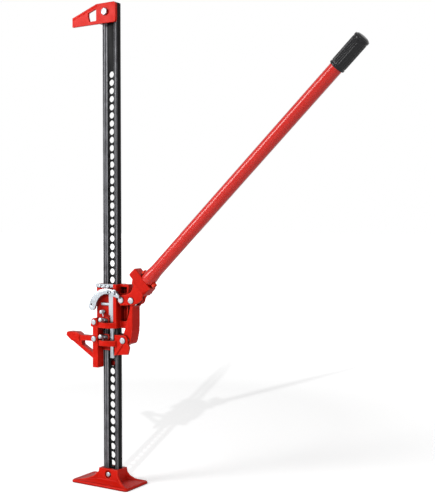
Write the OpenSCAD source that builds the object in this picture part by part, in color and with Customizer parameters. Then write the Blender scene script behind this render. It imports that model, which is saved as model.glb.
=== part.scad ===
// High lift jack: a tall steel standard with a row of holes, a runner assembly that climbs it hole by hole,
// a long pipe handle, a top claw and a broad base. Millimetres, +Z up, X to the handle side.
// The origin is the middle of the underside of the base, under the standard.

/* [Standard] */
// Width of the standard, edge to edge
bar_w = 46; // [40:1:50]
// Depth of the standard over its flange lips
bar_d = 20; // [18:0.5:24]
// Thickness of the web that carries the holes
bar_web = 6; // [4:0.5:8]
// Width of each flange lip
bar_lip = 8; // [5:0.5:9]
// Height of the top of the standard above the ground
bar_top = 1239; // [1200:1:1280]
// Height at which the foot of the standard rests in the base
bar_seat = 8; // [6:0.5:10]
// Chamfer on the long corners of the standard
bar_chamfer = 1.2; // [0.6:0.1:1.6]

/* [Climbing holes] */
// Distance between neighbouring holes
hole_pitch = 21.3; // [21:0.1:21.6]
// Number of climbing holes
hole_count = 48; // [44:1:50]
// Diameter of a climbing hole
hole_d = 16.5; // [15.5:0.1:17]
// Height of the lowest climbing hole
first_hole_z = 52; // [50:0.5:56]
// Hole that the lower climbing pin stands in, counted from zero at the bottom
rest_hole = 15; // [12:1:24]

/* [Base] */
// Length of the base
base_l = 180; // [160:1:190]
// Width of the base
base_w = 94; // [88:1:112]
// Distance that the middle of the base lies from the standard, towards the nose side
base_shift = 11; // [0:0.5:14]
// Thickness of the base at its rim
base_t = 6.5; // [5:0.5:8]
// Radius of the corners of the base
base_corner_r = 9; // [6:0.5:14]
// Height of the socket block
base_h = 41; // [38:0.5:44]
// Length of the socket block at its top
block_l = 60; // [58:0.5:66]
// Width of the socket block at its top
block_w = 41; // [36:0.5:46]
// Splay of the socket block on each side, from top to foot
block_splay = 2.5; // [1:0.5:5]
// Width of the ribs that run to the corners
rib_w = 6; // [5:0.5:10]
// Height of the low dome between the ribs
dome_h = 13; // [10:0.5:18]
// Height of the base pin
base_pin_z = 27; // [25:0.5:30]
// Diameter of the base pin
base_pin_d = 9; // [7:0.5:10]

/* [Top claw] */
// Reach of the claw from the middle of the standard
claw_reach = 117; // [100:1:130]
// Height of the claw at the standard
claw_h = 53; // [48:0.5:58]
// Height of the tip of the claw
claw_tip_h = 25; // [20:0.5:28]
// Distance from the middle of the standard to the upper end of the sloping edge
claw_shoulder = 36; // [32:0.5:44]
// Width of the claw, front to back
claw_w = 38; // [34:0.5:42]
// Wall of the claw
claw_wall = 7; // [5:0.5:8]
// Diameter of the claw bolt
claw_bolt_d = 10; // [8:0.5:12]

/* [Runners] */
// Wall of the runners round the standard
shell_wall = 6.7; // [5:0.1:7.5]
// Width of the column on the nose side
column_w = 17; // [15:0.5:17]
// Distance from the front of the standard to the front of the column
column_reach = 24.5; // [20:0.5:26]
// Length of the column below the lower climbing pin
column_drop = 73.5; // [60:0.5:80]
// Height of the large runner above the upper climbing pin
runner_rise = 97; // [90:0.5:104]
// Thickness of the handle side wall of the large runner
side_wall = 9; // [7:0.5:9.2]
// Height of each front band
band_h = 14.5; // [12:0.5:15]
// Radius of the front bands, seen from above
band_r = 48; // [46:0.5:52]
// Thickness of the front bands
band_t = 6; // [4:0.5:6.5]
// Radius of the boss round a climbing pin
pin_boss_r = 9; // [8:0.1:9.2]

/* [Nose] */
// Reach of the lifting nose from the middle of the standard
nose_reach = 148; // [130:1:160]
// Length of the flat pad on the nose
nose_pad_l = 34; // [26:0.5:40]
// Width of the pad
nose_pad_w = 22; // [18:0.5:30]
// Width of the arm and brace of the nose
nose_w = 16; // [14:0.5:18]
// Height of the pad above the lower climbing pin
nose_rise = 9.5; // [6:0.5:12]
// Height of the arm of the nose above the lower climbing pin
nose_arm_rise = 2.5; // [0:0.5:5]
// Depth of the arm of the nose
nose_arm_h = 14; // [10:0.5:16]

/* [Linkage] */
// Distance from the handle pivot to the pitman pin in the handle socket
crank_r = 31.4; // [30.5:0.1:32]
// Distance from the middle of the standard to the handle pivot
pivot_x = 45.6; // [45:0.1:46.5]
// Height of the handle pivot above the upper climbing pin
pivot_rise = 58; // [56:0.5:60]
// Distance from the middle of the standard to the lower pitman pin
lug_x = 50.6; // [50:0.1:52]
// Distance from the lower climbing pin down to the lower pitman pin
lug_drop = 1.5; // [0:0.5:4]
// Diameter of the linkage pins
link_pin_d = 12; // [11:0.1:12.4]
// Diameter of the heads of the linkage pins
link_head_d = 16; // [14:0.1:16.5]
// Thickness of the heads of the linkage pins
link_head_t = 3.6; // [2.5:0.1:3.8]
// Thickness of each plate of the handle socket and of the small runner's lug
plate_t = 6.3; // [5:0.1:6.6]
// Thickness of each cheek of the pitman
cheek_t = 6.2; // [5:0.1:6.4]
// Half width of the web of the large runner
web_half = 9.5; // [8:0.1:9.6]

/* [Climbing pins] */
// Diameter of a climbing pin
pin_d = 11; // [10:0.1:11.5]
// Length of a climbing pin
pin_l = 48; // [46:0.5:52]
// Slope of the climbing pins
pin_slope = 10; // [8:0.5:11]
// Travel of a climbing pin
pin_travel = 11; // [10.5:0.1:12]
// Diameter of the cross pins
cross_d = 4; // [3:0.1:5]
// Length of the cross pins
cross_l = 17; // [15:0.5:18]

/* [Rollers] */
// Diameter of a roller
roller_d = 16; // [14:0.1:16.4]
// Width of a roller
roller_w = 15; // [12:0.5:17]
// Diameter of a roller pin
roller_pin_d = 8; // [6:0.1:9]
// Radius of the boss round a roller pin
roller_boss_r = 10.4; // [10:0.1:10.6]

/* [Handle] */
// Angle of the handle above level, at rest
handle_angle = 43.1; // [40:0.1:46]
// Distance from the collar to the end of the grip, along the handle
handle_l = 811; // [700:1:900]
// Outer diameter of the handle pipe
pipe_d = 33; // [30:0.25:34]
// Wall of the handle pipe
pipe_wall = 2.8; // [2:0.1:4]
// Diameter of the flared root of the pipe
flare_d = 38.5; // [37:0.5:46]
// Length of the flared root
flare_l = 44; // [36:1:80]
// Outer diameter of the grip
grip_d = 39.5; // [37:0.5:41]
// Length of the grip
grip_l = 91; // [76:1:130]
// Height of the socket collar, across the handle
collar_h = 69; // [66:0.5:74]
// Width of the socket collar where it leaves the plates
collar_root_w = 42; // [40:0.5:44]
// Width of the socket collar at its far face
collar_w = 27; // [24:0.5:34]
// Corner radius of the socket collar
collar_corner = 9; // [5:0.5:11]
// Thickness of the socket collar
collar_t = 21.5; // [18:0.5:23]
// Distance from the handle pivot to the far face of the collar, along the handle
collar_out = 82; // [80:0.5:90]
// Diameter of the socket bolt
socket_bolt_d = 8; // [6:0.5:9]

/* [Reversing gear] */
// Outer radius of the latch
latch_r = 57.5; // [54:0.5:58]
// Inner radius of the latch
latch_in_r = 37.5; // [36:0.1:39]
// Thickness of the latch
latch_t = 6; // [4:0.5:7]
// Distance from the latch pivot to the stud of the reversing bar
stud_r = 14; // [13:0.5:15]
// Width of the reversing bar
rev_w = 10; // [8:0.5:10]
// Thickness of the reversing bar
rev_t = 5; // [3:0.5:6]
// Wire diameter of the pin springs
wire_d = 2; // [1.5:0.1:2.2]

/* [Fits] */
// Gap between the runners and the standard
slide_gap = 0.3; // [0.2:0.05:0.5]
// Radial gap of a pin in its bore
pin_gap = 0.05; // [0.03:0.01:0.1]
// Side gap between plates that swing past each other
side_gap = 0.5; // [0.4:0.05:0.6]

/* [Hidden] */
$fn = 64;

// Overrun of every cut past the face it opens
over = 0.5;
hole_r = hole_d / 2;
pin_r = pin_d / 2;
lo_z = first_hole_z + rest_hole * hole_pitch;
hi_z = lo_z + 2 * hole_pitch;
chan_x = bar_w / 2 + slide_gap;
chan_y = bar_d / 2 + slide_gap;
shell_y = chan_y + shell_wall;

// Column and walls of the runners
column_in = 21;
column_x = column_in + column_w;
side_x = chan_x + side_wall;
column_front = bar_d / 2 + column_reach;
post_proud = 9;
post_extra = 2;
post_front = shell_y + post_proud;
post_w = side_wall + post_extra;
top_z = hi_z + runner_rise;
foot_z = lo_z - column_drop;
lap = 1;
back_lip = 5;
runner_split = 1;
band_hi_z = hi_z - band_h;
band_under = 3;
band_lo_z = lo_z - band_h - band_under;
band_set = 3;
band_turn = 8;
band_end = column_front - band_turn;
wall_foot = 12;
wall_lo_z = band_lo_z - wall_foot;
wall_rise = 6;
wall_top_z = lo_z + pin_r + wall_rise;
boss_proud = 9;
boss_face = shell_y + boss_proud;
tab_reach = 7;
tab_depth = 12;
tab_low = 2;
tab_high = 11;
screw_depth = shell_wall * 0.7;

// Handle pivot, pitman and lug
pivot_z = hi_z + pivot_rise;
lug_z = lo_z - lug_drop;
crank_x = pivot_x + crank_r;
link_r = link_pin_d / 2;
link_head_r = link_head_d / 2;
cheek_in = web_half + side_gap;
cheek_out = cheek_in + cheek_t;
plate_in = cheek_out + side_gap;
plate_out = plate_in + plate_t;
pivot_boss = 5;
pivot_boss_r = link_head_r + pivot_boss;
web_reach = 6;
web_far = pivot_x + link_head_r + web_reach;
web_heel = 5;
web_slant = 3;
web_frame = 3.5;
web_edge = 0.7;
web_margin = 8;
web_top_margin = 7;
lug_margin = 6.5;
lug_back_margin = 3.7;
lug_back_x = 38.5;
lug_back_rise = 11;
lug_deep = 10;
lug_sill = 7;
rib_set = 3;
socket_margin = 4.6;
eye_margin = 6;
foot_margin = 5;
web_space = 1.5;
nook_margin = 8;
bow = 6.5;
slot_play = 0.9;
down_swing = 42.5;
crank_shift = crank_r * (1 - cos(down_swing));
spine = web_far + crank_shift + web_space;

// Rollers and clips
roller_x = -(bar_w + roller_d) / 2 - slide_gap;
roller_pin_r = roller_pin_d / 2;
roller_proud = 2.5;
roller_front = column_front + roller_proud;
roller_behind = 3;
roller_back = shell_y + roller_behind;
clip_t = 1.6;

// Reversing gear
latch_gap = 2.2;
latch_y = post_front + latch_gap;
latch_out = latch_y + latch_t;
latch_cx = 6;
latch_drop = 29;
latch_cz = pivot_z - latch_drop;
latch_set = 2.5;
latch_px = side_x - latch_set;
latch_rise = 48;
latch_pz = latch_cz + latch_rise;
latch_pin_r = 3.5;
latch_eye = 4;
latch_set_in = 3;
latch_set_up = 6.4;
latch_heel = 4;
latch_toe = 15;
latch_tail = 17.5;
latch_pin_depth = 8;
rev_gap_x = 1.5;
rev_x = pin_boss_r + rev_gap_x;
rev_gap_y = 1.2;
rev_y = shell_y + rev_gap_y;
rev_drop = 48;
rev_low = lo_z - rev_drop;
rev_neck = 18;
rev_neck_w = 4.5;
rev_arm_rise = 14;
rev_arm_h = 6;
rev_arm_set = 2;
stud_pin_r = 2.5;
stud_play = 0.9;
stud_slot_r = stud_pin_r + stud_play;
stud_slot_l = 5;
rev_top = latch_pz + stud_pin_r;
plate_h = 9;
plate_sheet = 3;
plate_left = -column_x - 1;
plate_right = rev_x + 7;
plate_screw_r = 2;
plate_screw_step = 14;
plate_cx = -11;
plate_screw_z = top_z - plate_h * 0.65;

// Base and claw
base_bay_set = 3;
base_bay_y = block_w / 2 - base_bay_set;
claw_z = bar_top - claw_h;
claw_bolt_x = -6;
claw_bolt_z = claw_z + claw_h * 0.55;
claw_back_x = 14;
claw_lip = 4;
claw_flange = 14;
claw_corner = 7;
claw_edge_x = bar_w / 2 + claw_lip;
eye_set = 0.6;

// Climbing pins and their springs
cross_at = -pin_l * 0.64;
pin_in_share = 0.12;
spring_out = 5;
spring_x = -pin_boss_r - spring_out;
coil_r = wire_d * 1.9;
spring_screw_r = coil_r - wire_d * 0.7;
spring_hi = 26;
spring_lo = 5;
spring_turns = 3.5;
spring_step = 45;

// Handle
handle_drop = 9.1;
// Length of the bevel at the root of the pipe
flare_bevel = 6;
// How far the collar's web reaches back between the plates
collar_web = 8;
// The lower edge of each fork plate about the pitman pin, as shares of the radius round a pin
front_fork_shares = [[0.12, -1.19], [1.2, -1.58], [2.15, -1.62]];
back_fork_shares = [[0, -1], [0.75, -0.66], [1.6, -0.45]];
grip_end = 8;
pipe_bore_r = pipe_d / 2 - pipe_wall;
spigot_r = pipe_bore_r - pin_gap;
spigot_l = socket_bolt_d * 2.5;

/* Shapes that repeat */

// Raises an outline drawn in X and Z, from depth y0 to depth y1
module slab(y0, y1) {
    translate([0, y1, 0])
        rotate([90, 0, 0])
            linear_extrude(height = y1 - y0)
                children();
}

// A round bar along Y, from depth y0 to depth y1
module rod(r, y0, y1, x = 0, z = 0) {
    translate([x, y1, z])
        rotate([90, 0, 0])
            cylinder(r = r, h = y1 - y0);
}

// A box given by its low and high corners
module block(low, high) {
    translate(low)
        cube(high - low);
}

// A round bar along the slope of the climbing pins; distances run inward from the web of the standard
module pin_rod(r, s0, s1, z) {
    translate([0, 0, z])
        rotate([-90 - pin_slope, 0, 0])
            translate([0, 0, s0])
                cylinder(r = r, h = s1 - s0);
}

// A pin with a domed head in front and a groove for its clip behind
module headed_pin(r, head_r, head_t, front, back, x, z) {
    dome = head_t * 0.35;
    rod(r, -front - head_t / 2, back, x, z);
    rod(head_r, -front - head_t + dome, -front, x, z);
    translate([x, -front - head_t + dome, z])
        rotate([90, 0, 0])
            cylinder(r1 = head_r, r2 = head_r - dome, h = dome);
}

// A flat spring clip round a pin, open on one side
module clip(r, y, x, z) {
    clip_out = r * 1.8;
    mouth = r * 0.7;
    difference() {
        rod(clip_out, y, y + clip_t, x, z);
        rod(r + pin_gap, y - over, y + clip_t + over, x, z);
        block([x - mouth, y - over, z - clip_out - over], [x + mouth, y + clip_t + over, z]);
    }
}

// A tube swept along points, with one ring square to the path at each point
module wire(path, r, sides = 6) {
    last = len(path) - 1;
    function along(i) = path[min(i + 1, last)] - path[max(i - 1, 0)];
    function side(i) = let (d = along(i), u = d / norm(d), c = cross(u, [0.31, 0.17, 0.93])) c / norm(c);
    rings = [for (i = [0 : last])
        let (d = along(i), u = d / norm(d), a = side(i), b = cross(u, a))
            for (k = [0 : sides - 1])
                path[i] + r * (cos(360 * k / sides) * a + sin(360 * k / sides) * b)];
    walls = [for (i = [0 : last - 1], k = [0 : sides - 1])
        let (n = (k + 1) % sides, p = i * sides, q = p + sides)
            each [[p + k, q + k, q + n], [p + k, q + n, p + n]]];
    start = [for (k = [1 : sides - 2]) [0, k, k + 1]];
    end = [for (k = [1 : sides - 2]) [last * sides, last * sides + k + 1, last * sides + k]];
    polyhedron(points = rings, faces = concat(walls, start, end));
}

/* Standard, base and claw */

module bar_profile() {
    half_w = bar_w / 2;
    half_d = bar_d / 2;
    web = bar_web / 2;
    inner = half_w - bar_lip;
    root = bar_lip * 0.3;
    c = bar_chamfer;
    difference() {
        polygon([[-half_w + c, -half_d], [half_w - c, -half_d], [half_w, -half_d + c], [half_w, half_d - c],
            [half_w - c, half_d], [-half_w + c, half_d], [-half_w, half_d - c], [-half_w, -half_d + c]]);
        for (s = [-1, 1])
            scale([1, s])
                polygon([[-inner, half_d + over], [-inner, web + root], [-inner + root, web],
                    [inner - root, web], [inner, web + root], [inner, half_d + over]]);
    }
}

module standard_bar() {
    color([0.09, 0.09, 0.1])
    difference() {
        translate([0, 0, bar_seat])
            linear_extrude(height = bar_top - bar_seat)
                bar_profile();
        for (i = [0 : hole_count - 1])
            rod(hole_r, -bar_d, bar_d, 0, first_hole_z + i * hole_pitch);
        rod(claw_bolt_d / 2 + pin_gap, -bar_d, bar_d, claw_bolt_x, claw_bolt_z);
        rod(base_pin_d / 2 + pin_gap, -bar_d, bar_d, 0, base_pin_z);
    }
}

module rim_outline(inset) {
    r = base_corner_r;
    for (x = [-1, 1], y = [-1, 1])
        translate([x * (base_l / 2 - r), y * (base_w / 2 - r)])
            circle(r = r - inset, $fn = 32);
}

// The profile of a rib of the base, from the socket block out to its corner
module rib_profile(run, top) {
    polygon([[-rib_w / 2, base_t / 2], [run, base_t / 2], [run, base_t + rib_w * 0.2],
        [run * 0.75, base_t + rib_w * 0.5], [run * 0.5, top * 0.34], [run * 0.25, top * 0.52],
        [run * 0.1, top * 0.75], [0, top], [-rib_w / 2, top]]);
}

module base_plate() {
    rim = base_t * 0.3;
    top_l = block_l / 2;
    top_w = block_w / 2;
    foot_l = top_l + block_splay;
    foot_w = top_w + block_splay;
    tip_x = base_l / 2 - base_corner_r;
    tip_y = base_w / 2 - base_corner_r;
    seat_l = bar_w / 2 + slide_gap;
    seat_w = bar_d / 2 + slide_gap;
    bay_r = base_pin_d * 1.1;
    color([0.85, 0.12, 0.09])
    difference() {
        union() {
            translate([-base_shift, 0, 0])
                hull() {
                    linear_extrude(height = base_t - rim)
                        rim_outline(0);
                    linear_extrude(height = base_t)
                        rim_outline(rim);
                }
            hull() {
                block([-foot_l, -foot_w, 0], [foot_l, foot_w, base_t]);
                block([-top_l, -top_w, base_h - rim], [top_l, top_w, base_h]);
            }
            hull() {
                translate([-base_shift, 0, 0])
                    block([-tip_x, -tip_y, base_t / 2], [tip_x, tip_y, base_t]);
                block([-foot_l, -foot_w, base_t], [foot_l, foot_w, dome_h]);
            }
            for (x = [-1, 1], y = [-1, 1]) {
                root = [x * (top_l - rib_w / 2), y * (top_w - rib_w / 2)];
                way = [x * tip_x - base_shift, y * tip_y] - root;
                translate(root)
                    rotate([90, 0, atan2(way[1], way[0])])
                        linear_extrude(height = rib_w, center = true)
                            rib_profile(norm(way), base_h - rim);
            }
        }
        block([-seat_l, -seat_w, bar_seat], [seat_l, seat_w, base_h + over]);
        rod(base_pin_d / 2 + pin_gap, -base_w, base_w, 0, base_pin_z);
        for (y = [-1, 1])
            scale([1, y, 1])
                rod(bay_r, -base_w, -base_bay_y, 0, base_pin_z);
    }
}

module base_pin() {
    head_r = base_pin_d * 0.7;
    color("silver")
        headed_pin(base_pin_d / 2, head_r, link_head_t, base_bay_y, base_bay_y + clip_t * 2, 0, base_pin_z);
}

module base_pin_clip() {
    color("silver")
        clip(base_pin_d / 2, base_bay_y, 0, base_pin_z);
}

module claw_outline() {
    r = claw_corner;
    polygon(concat(
        [[-claw_reach, claw_z]],
        [for (a = [-90 : 15 : 0]) [claw_edge_x - r + r * cos(a), claw_z + r + r * sin(a)]],
        [for (a = [0 : 15 : 90]) [claw_edge_x - r + r * cos(a), bar_top - r + r * sin(a)]],
        [[-claw_shoulder, bar_top], [-claw_reach, claw_z + claw_tip_h]]));
}

// The room behind the front plate, beside the standard and under the top edge
module claw_hollow() {
    slope = (claw_h - claw_tip_h) / (claw_reach - claw_shoulder);
    lift = claw_wall * sqrt(1 + slope * slope);
    right = chan_x + claw_wall;
    left = claw_reach + over;
    shoulder_z = bar_top - lift;
    polygon([[-left, claw_z - over], [-right, claw_z - over], [-right, bar_top - claw_wall],
        [-claw_shoulder, shoulder_z], [-left, shoulder_z - (left - claw_shoulder) * slope]]);
}

// The eye for a shackle
module claw_eye() {
    w = claw_reach * 0.226;
    x = claw_shoulder + eye_set;
    sill = claw_z + claw_h / 6;
    polygon([[-x - w, sill + w * 0.5], [-x - w * 0.85, sill], [-x, sill], [-x, sill + w * 1.21],
        [-x - w, sill + w * 0.86]]);
}

module top_claw() {
    half = claw_w / 2;
    front = half - claw_wall;
    run = claw_reach - claw_shoulder;
    slope = (claw_h - claw_tip_h) / run;
    right = chan_x + claw_wall;
    teeth = 12;
    tooth = claw_wall * 0.25;
    color([0.85, 0.12, 0.09])
    difference() {
        slab(-half, half)
            claw_outline();
        slab(-front, half + over)
            claw_hollow();
        block([-claw_reach - over, -half + claw_flange, claw_z - over],
            [-right, half + over, bar_top + over]);
        slab(-half - over, -front + over)
            claw_eye();
        block([-chan_x, -chan_y, claw_z - over], [claw_edge_x + over, chan_y, bar_top + over]);
        block([claw_back_x, -chan_y, claw_z - over], [claw_edge_x + over, half + over, bar_top + over]);
        rod(claw_bolt_d / 2 + pin_gap, -claw_w, claw_w, claw_bolt_x, claw_bolt_z);
        for (i = [1 : teeth])
            translate([-claw_reach, 0, claw_z + claw_tip_h] + [run, 0, run * slope] * i / (teeth + 1))
                rotate([0, 45 - atan(slope), 0])
                    cube([tooth, claw_w + over, tooth], center = true);
    }
}

module hex_head(across, t, y, x, z) {
    translate([x, y, z])
        rotate([90, 30, 0])
            cylinder(d = across * 2 / sqrt(3), h = t, $fn = 6);
}

module claw_bolt() {
    head = claw_bolt_d * 0.6;
    color("silver") {
        rod(claw_bolt_d / 2, -claw_w / 2 - head / 2, claw_w / 2 + claw_bolt_d, claw_bolt_x, claw_bolt_z);
        hex_head(claw_bolt_d * 1.7, head, -claw_w / 2, claw_bolt_x, claw_bolt_z);
    }
}

module claw_nut() {
    nut = claw_bolt_d * 0.8;
    color("silver")
    difference() {
        hex_head(claw_bolt_d * 1.7, nut, claw_w / 2 + nut, claw_bolt_x, claw_bolt_z);
        rod(claw_bolt_d / 2 + pin_gap, 0, claw_w, claw_bolt_x, claw_bolt_z);
    }
}

/* Runners */

// A blind hole in the front wall of a runner
module screw_hole(r, x, z) {
    rod(r + pin_gap, -shell_y - over, -shell_y + screw_depth, x, z);
}

// A curved band in front of the standard, between two places across it
module front_band(x0, x1, z) {
    cy = band_r - column_front - band_set;
    intersection() {
        translate([0, cy, z])
            difference() {
                cylinder(r = band_r, h = band_h);
                translate([0, 0, -over])
                    cylinder(r = band_r - band_t, h = band_h + 2 * over);
            }
        block([x0, -band_r, z - over], [x1, -chan_y, z + band_h + over]);
    }
}

module nose_outline() {
    pad_z = lo_z + nose_rise;
    arm_z = lo_z + nose_arm_rise;
    low_z = arm_z - nose_arm_h;
    knee = nose_reach * 0.9;
    polygon([[-nose_reach, pad_z - nose_pad_l * 0.3],
        [-nose_reach + nose_pad_l * 0.06, pad_z - nose_pad_l * 0.05],
        [-nose_reach + nose_pad_l * 0.14, pad_z], [-nose_reach + nose_pad_l, pad_z],
        [-nose_reach + nose_pad_l * 1.38, arm_z], [-column_x + over, arm_z],
        [-column_x + over, foot_z + nose_arm_h * 0.35], [-knee, low_z],
        [-nose_reach + nose_pad_l * 0.12, pad_z - nose_pad_l * 0.38]]);
}

module nose_gap() {
    low_z = lo_z + nose_arm_rise - nose_arm_h;
    left = nose_reach * 0.66;
    polygon([[-left, low_z], [-column_x, low_z], [-column_x, foot_z + nose_arm_h * 1.5],
        [-left * 0.99, low_z - nose_arm_h * 0.75]]);
}

module web_outline() {
    polygon([[chan_x, band_hi_z], [pivot_x + web_heel, band_hi_z],
        [web_far - web_slant, hi_z + pivot_rise * 0.45], [web_far, top_z], [chan_x, top_z]]);
}

// One pocket in the web of the large runner
module web_pocket(z0, z1) {
    left = side_x + web_edge;
    right = pivot_x + link_head_r;
    slab(-web_half - over, web_half - web_frame)
        polygon([[left, z0], [right - web_frame, z0], [right, z0 + web_frame], [right, z1], [left, z1]]);
}

module large_runner() {
    color([0.86, 0.13, 0.1])
    difference() {
        union() {
            block([-column_x, -shell_y, band_hi_z], [side_x, shell_y, top_z]);
            block([-column_x, -column_front, foot_z], [-column_in, -chan_y + lap, band_hi_z + band_h]);
            block([-column_x, -chan_y, foot_z], [-chan_x, shell_y, band_hi_z + lap]);
            block([-chan_x - lap, chan_y, foot_z], [-back_lip, shell_y, band_hi_z + lap]);
            block([side_x - post_w, -post_front, band_hi_z], [side_x, -chan_y, top_z]);
            slab(-web_half, web_half)
                web_outline();
            rod(pivot_boss_r, -cheek_out, cheek_out, pivot_x, pivot_z);
            front_band(-column_in - lap, side_x, band_hi_z);
            block([side_x - band_t, -band_end, band_hi_z], [side_x, -chan_y, band_hi_z + band_h]);
            block([-column_x - tab_reach, -column_front, band_hi_z + tab_low],
                [-column_x + lap, -column_front + tab_depth, band_hi_z + tab_high]);
            for (z = [lo_z, hi_z])
                rod(roller_boss_r, -roller_front, roller_back, roller_x, z);
            intersection() {
                pin_rod(pin_boss_r, -boss_face, -chan_y, hi_z);
                block([-bar_w, -bar_w, band_hi_z], [bar_w, -chan_y, top_z]);
            }
            slab(-nose_w / 2, nose_w / 2)
                difference() {
                    nose_outline();
                    nose_gap();
                }
            slab(-nose_pad_w / 2, nose_pad_w / 2)
                intersection() {
                    nose_outline();
                    translate([-nose_reach, lo_z - nose_pad_l * 0.4])
                        square([nose_pad_l * 1.3, nose_pad_l]);
                }
        }
        block([-chan_x, -chan_y, foot_z - over], [chan_x, chan_y, top_z + over]);
        for (z = [lo_z, hi_z]) {
            rod(roller_pin_r + pin_gap, -bar_w, bar_w, roller_x, z);
            rod(roller_d / 2 + side_gap, -roller_w / 2 - side_gap, roller_w / 2 + side_gap, roller_x, z);
        }
        pin_rod(pin_r + pin_gap, -bar_w, 0, hi_z);
        rod(link_r + pin_gap, -bar_w, bar_w, pivot_x, pivot_z);
        rod(latch_pin_r + pin_gap, -bar_w, -post_front + latch_pin_depth, latch_px, latch_pz);
        screw_hole(spring_screw_r, spring_x, hi_z + spring_hi);
        for (i = [-1 : 1])
            screw_hole(plate_screw_r, plate_cx + i * plate_screw_step, plate_screw_z);
        web_pocket(hi_z + web_frame, pivot_z - link_head_r - web_margin);
        web_pocket(pivot_z + link_head_r + web_margin, top_z - web_top_margin);
    }
}

// The front plate of the lug
module lug_outline() {
    r = link_head_r + lug_margin;
    left = chan_x;
    right = lug_x + r * 1.03;
    polygon(concat([[left, wall_top_z], [left, wall_lo_z - lug_deep], [right, wall_lo_z - lug_sill],
            [lug_x + r * 1.39, lug_z - r * 1.17]],
        [for (a = [-20 : 20 : 80]) [lug_x + r * cos(a), lug_z + min(r * sin(a), wall_top_z - lug_z)]]));
}

// The back plate of the lug, which stops just under its pin
module lug_back_outline() {
    r = link_head_r + lug_back_margin;
    left = chan_x;
    polygon(concat([[left, wall_top_z], [left, wall_lo_z], [lug_back_x, wall_lo_z + lug_back_rise]],
        [for (a = [-60 : 20 : 80]) [lug_x + r * cos(a), lug_z + min(r * sin(a), wall_top_z - lug_z)]]));
}

module small_runner() {
    split = -column_in + runner_split;
    right = side_x - post_extra;
    rib = plate_t * 0.5;
    rib_top = lug_z - link_head_r - rib_set;
    sole = wall_lo_z - lug_deep;
    color([0.86, 0.13, 0.1])
    difference() {
        union() {
            block([split, -shell_y, wall_lo_z], [right, -chan_y, wall_top_z]);
            block([-back_lip + runner_split, chan_y, wall_lo_z], [right, shell_y, wall_top_z]);
            block([chan_x, -plate_out, wall_lo_z], [right, plate_out, wall_top_z]);
            block([chan_x, -plate_out, sole], [right, -chan_y, wall_lo_z + lap]);
            front_band(split, right, band_lo_z);
            block([right - band_t, -band_end, band_lo_z], [right, -chan_y, band_lo_z + band_h]);
            slab(-plate_out, -plate_in)
                lug_outline();
            slab(plate_in, plate_out)
                lug_back_outline();
            intersection() {
                pin_rod(pin_boss_r, -boss_face, -chan_y, lo_z);
                block([-bar_w, -bar_w, band_lo_z], [bar_w, -chan_y, wall_top_z]);
            }
            slab(-plate_out - rib, -plate_out)
                polygon([[chan_x, sole], [chan_x + rib * 2, sole], [lug_x, rib_top], [lug_x - rib * 2, rib_top]]);
        }
        block([-bar_w, -chan_y, foot_z], [chan_x, chan_y, top_z]);
        pin_rod(pin_r + pin_gap, -bar_w, 0, lo_z);
        rod(link_r + pin_gap, -bar_w, bar_w, lug_x, lug_z);
        screw_hole(spring_screw_r, spring_x, lo_z + spring_lo);
    }
}

/* Pins, clips and rollers */

module climbing_pin(z, back) {
    nose = pin_d * 0.12;
    tip = pin_l * pin_in_share - back;
    small_r = pin_r - nose;
    pin_rod(pin_r, tip - pin_l + nose, tip - nose, z);
    translate([0, 0, z])
        rotate([-90 - pin_slope, 0, 0]) {
            translate([0, 0, tip - nose])
                cylinder(r1 = pin_r, r2 = small_r, h = nose);
            translate([0, 0, tip - pin_l])
                cylinder(r1 = small_r, r2 = pin_r, h = nose);
        }
}

module cross_hole(z, back, r, half) {
    translate([0, 0, z])
        rotate([-90 - pin_slope, 0, 0])
            translate([-half, 0, cross_at - back])
                rotate([0, 90, 0])
                    cylinder(r = r, h = 2 * half);
}

module lower_climbing_pin() {
    color([0.6, 0.6, 0.62])
    difference() {
        climbing_pin(lo_z, pin_travel);
        cross_hole(lo_z, pin_travel, cross_d / 2 + pin_gap, pin_d);
    }
}

module upper_climbing_pin() {
    color([0.6, 0.6, 0.62])
    difference() {
        climbing_pin(hi_z, pin_travel);
        cross_hole(hi_z, pin_travel, cross_d / 2 + pin_gap, pin_d);
    }
}

module lower_cross_pin() {
    color("silver")
        cross_hole(lo_z, pin_travel, cross_d / 2, cross_l / 2);
}

module upper_cross_pin() {
    color("silver")
        cross_hole(hi_z, pin_travel, cross_d / 2, cross_l / 2);
}

// A coil round its screw, with one leg on the wall and one leg beside the climbing pin
function spring_path(z) =
    let (cy = -shell_y - wire_d * 0.7, end = 360 * spring_turns, lead = wire_d * 1.3)
    concat(
        [[spring_x - coil_r, cy, z - wire_d * 4]],
        [for (a = [0 : spring_step : end])
            [spring_x - coil_r * cos(a), cy - lead * a / 360, z + coil_r * sin(a)]],
        [[spring_x + coil_r, cy - lead * spring_turns, z - wire_d * 2],
            [-pin_r - wire_d * 0.8, cy - lead * spring_turns - wire_d * 0.7, z - wire_d * 6]]);

// Least gap of a wire to itself, measured between places that lie at least half a turn apart along it
function self_gap(path) =
    let (parts = 4, apart = parts * 180 / spring_step, last = (len(path) - 1) * parts - 1,
        fine = [for (i = [0 : last])
            let (n = floor(i / parts)) path[n] + (path[n + 1] - path[n]) * (i - n * parts) / parts])
    min([for (i = [0 : last - apart], j = [i + apart : last]) norm(fine[i] - fine[j])]) - wire_d;

echo(least_gap_of_a_spring_to_itself = self_gap(spring_path(lo_z)));

module spring_screw(z) {
    head = wire_d * 0.9;
    reach = wire_d * 6;
    rod(spring_screw_r, -shell_y - reach, -shell_y + shell_wall * 0.6, spring_x, z);
    rod(coil_r + wire_d * 0.4, -shell_y - reach - head, -shell_y - reach, spring_x, z);
}

module lower_pin_spring() {
    color("gainsboro")
        wire(spring_path(lo_z + spring_lo), wire_d / 2);
}

module upper_pin_spring() {
    color("gainsboro")
        wire(spring_path(hi_z + spring_hi), wire_d / 2);
}

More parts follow.
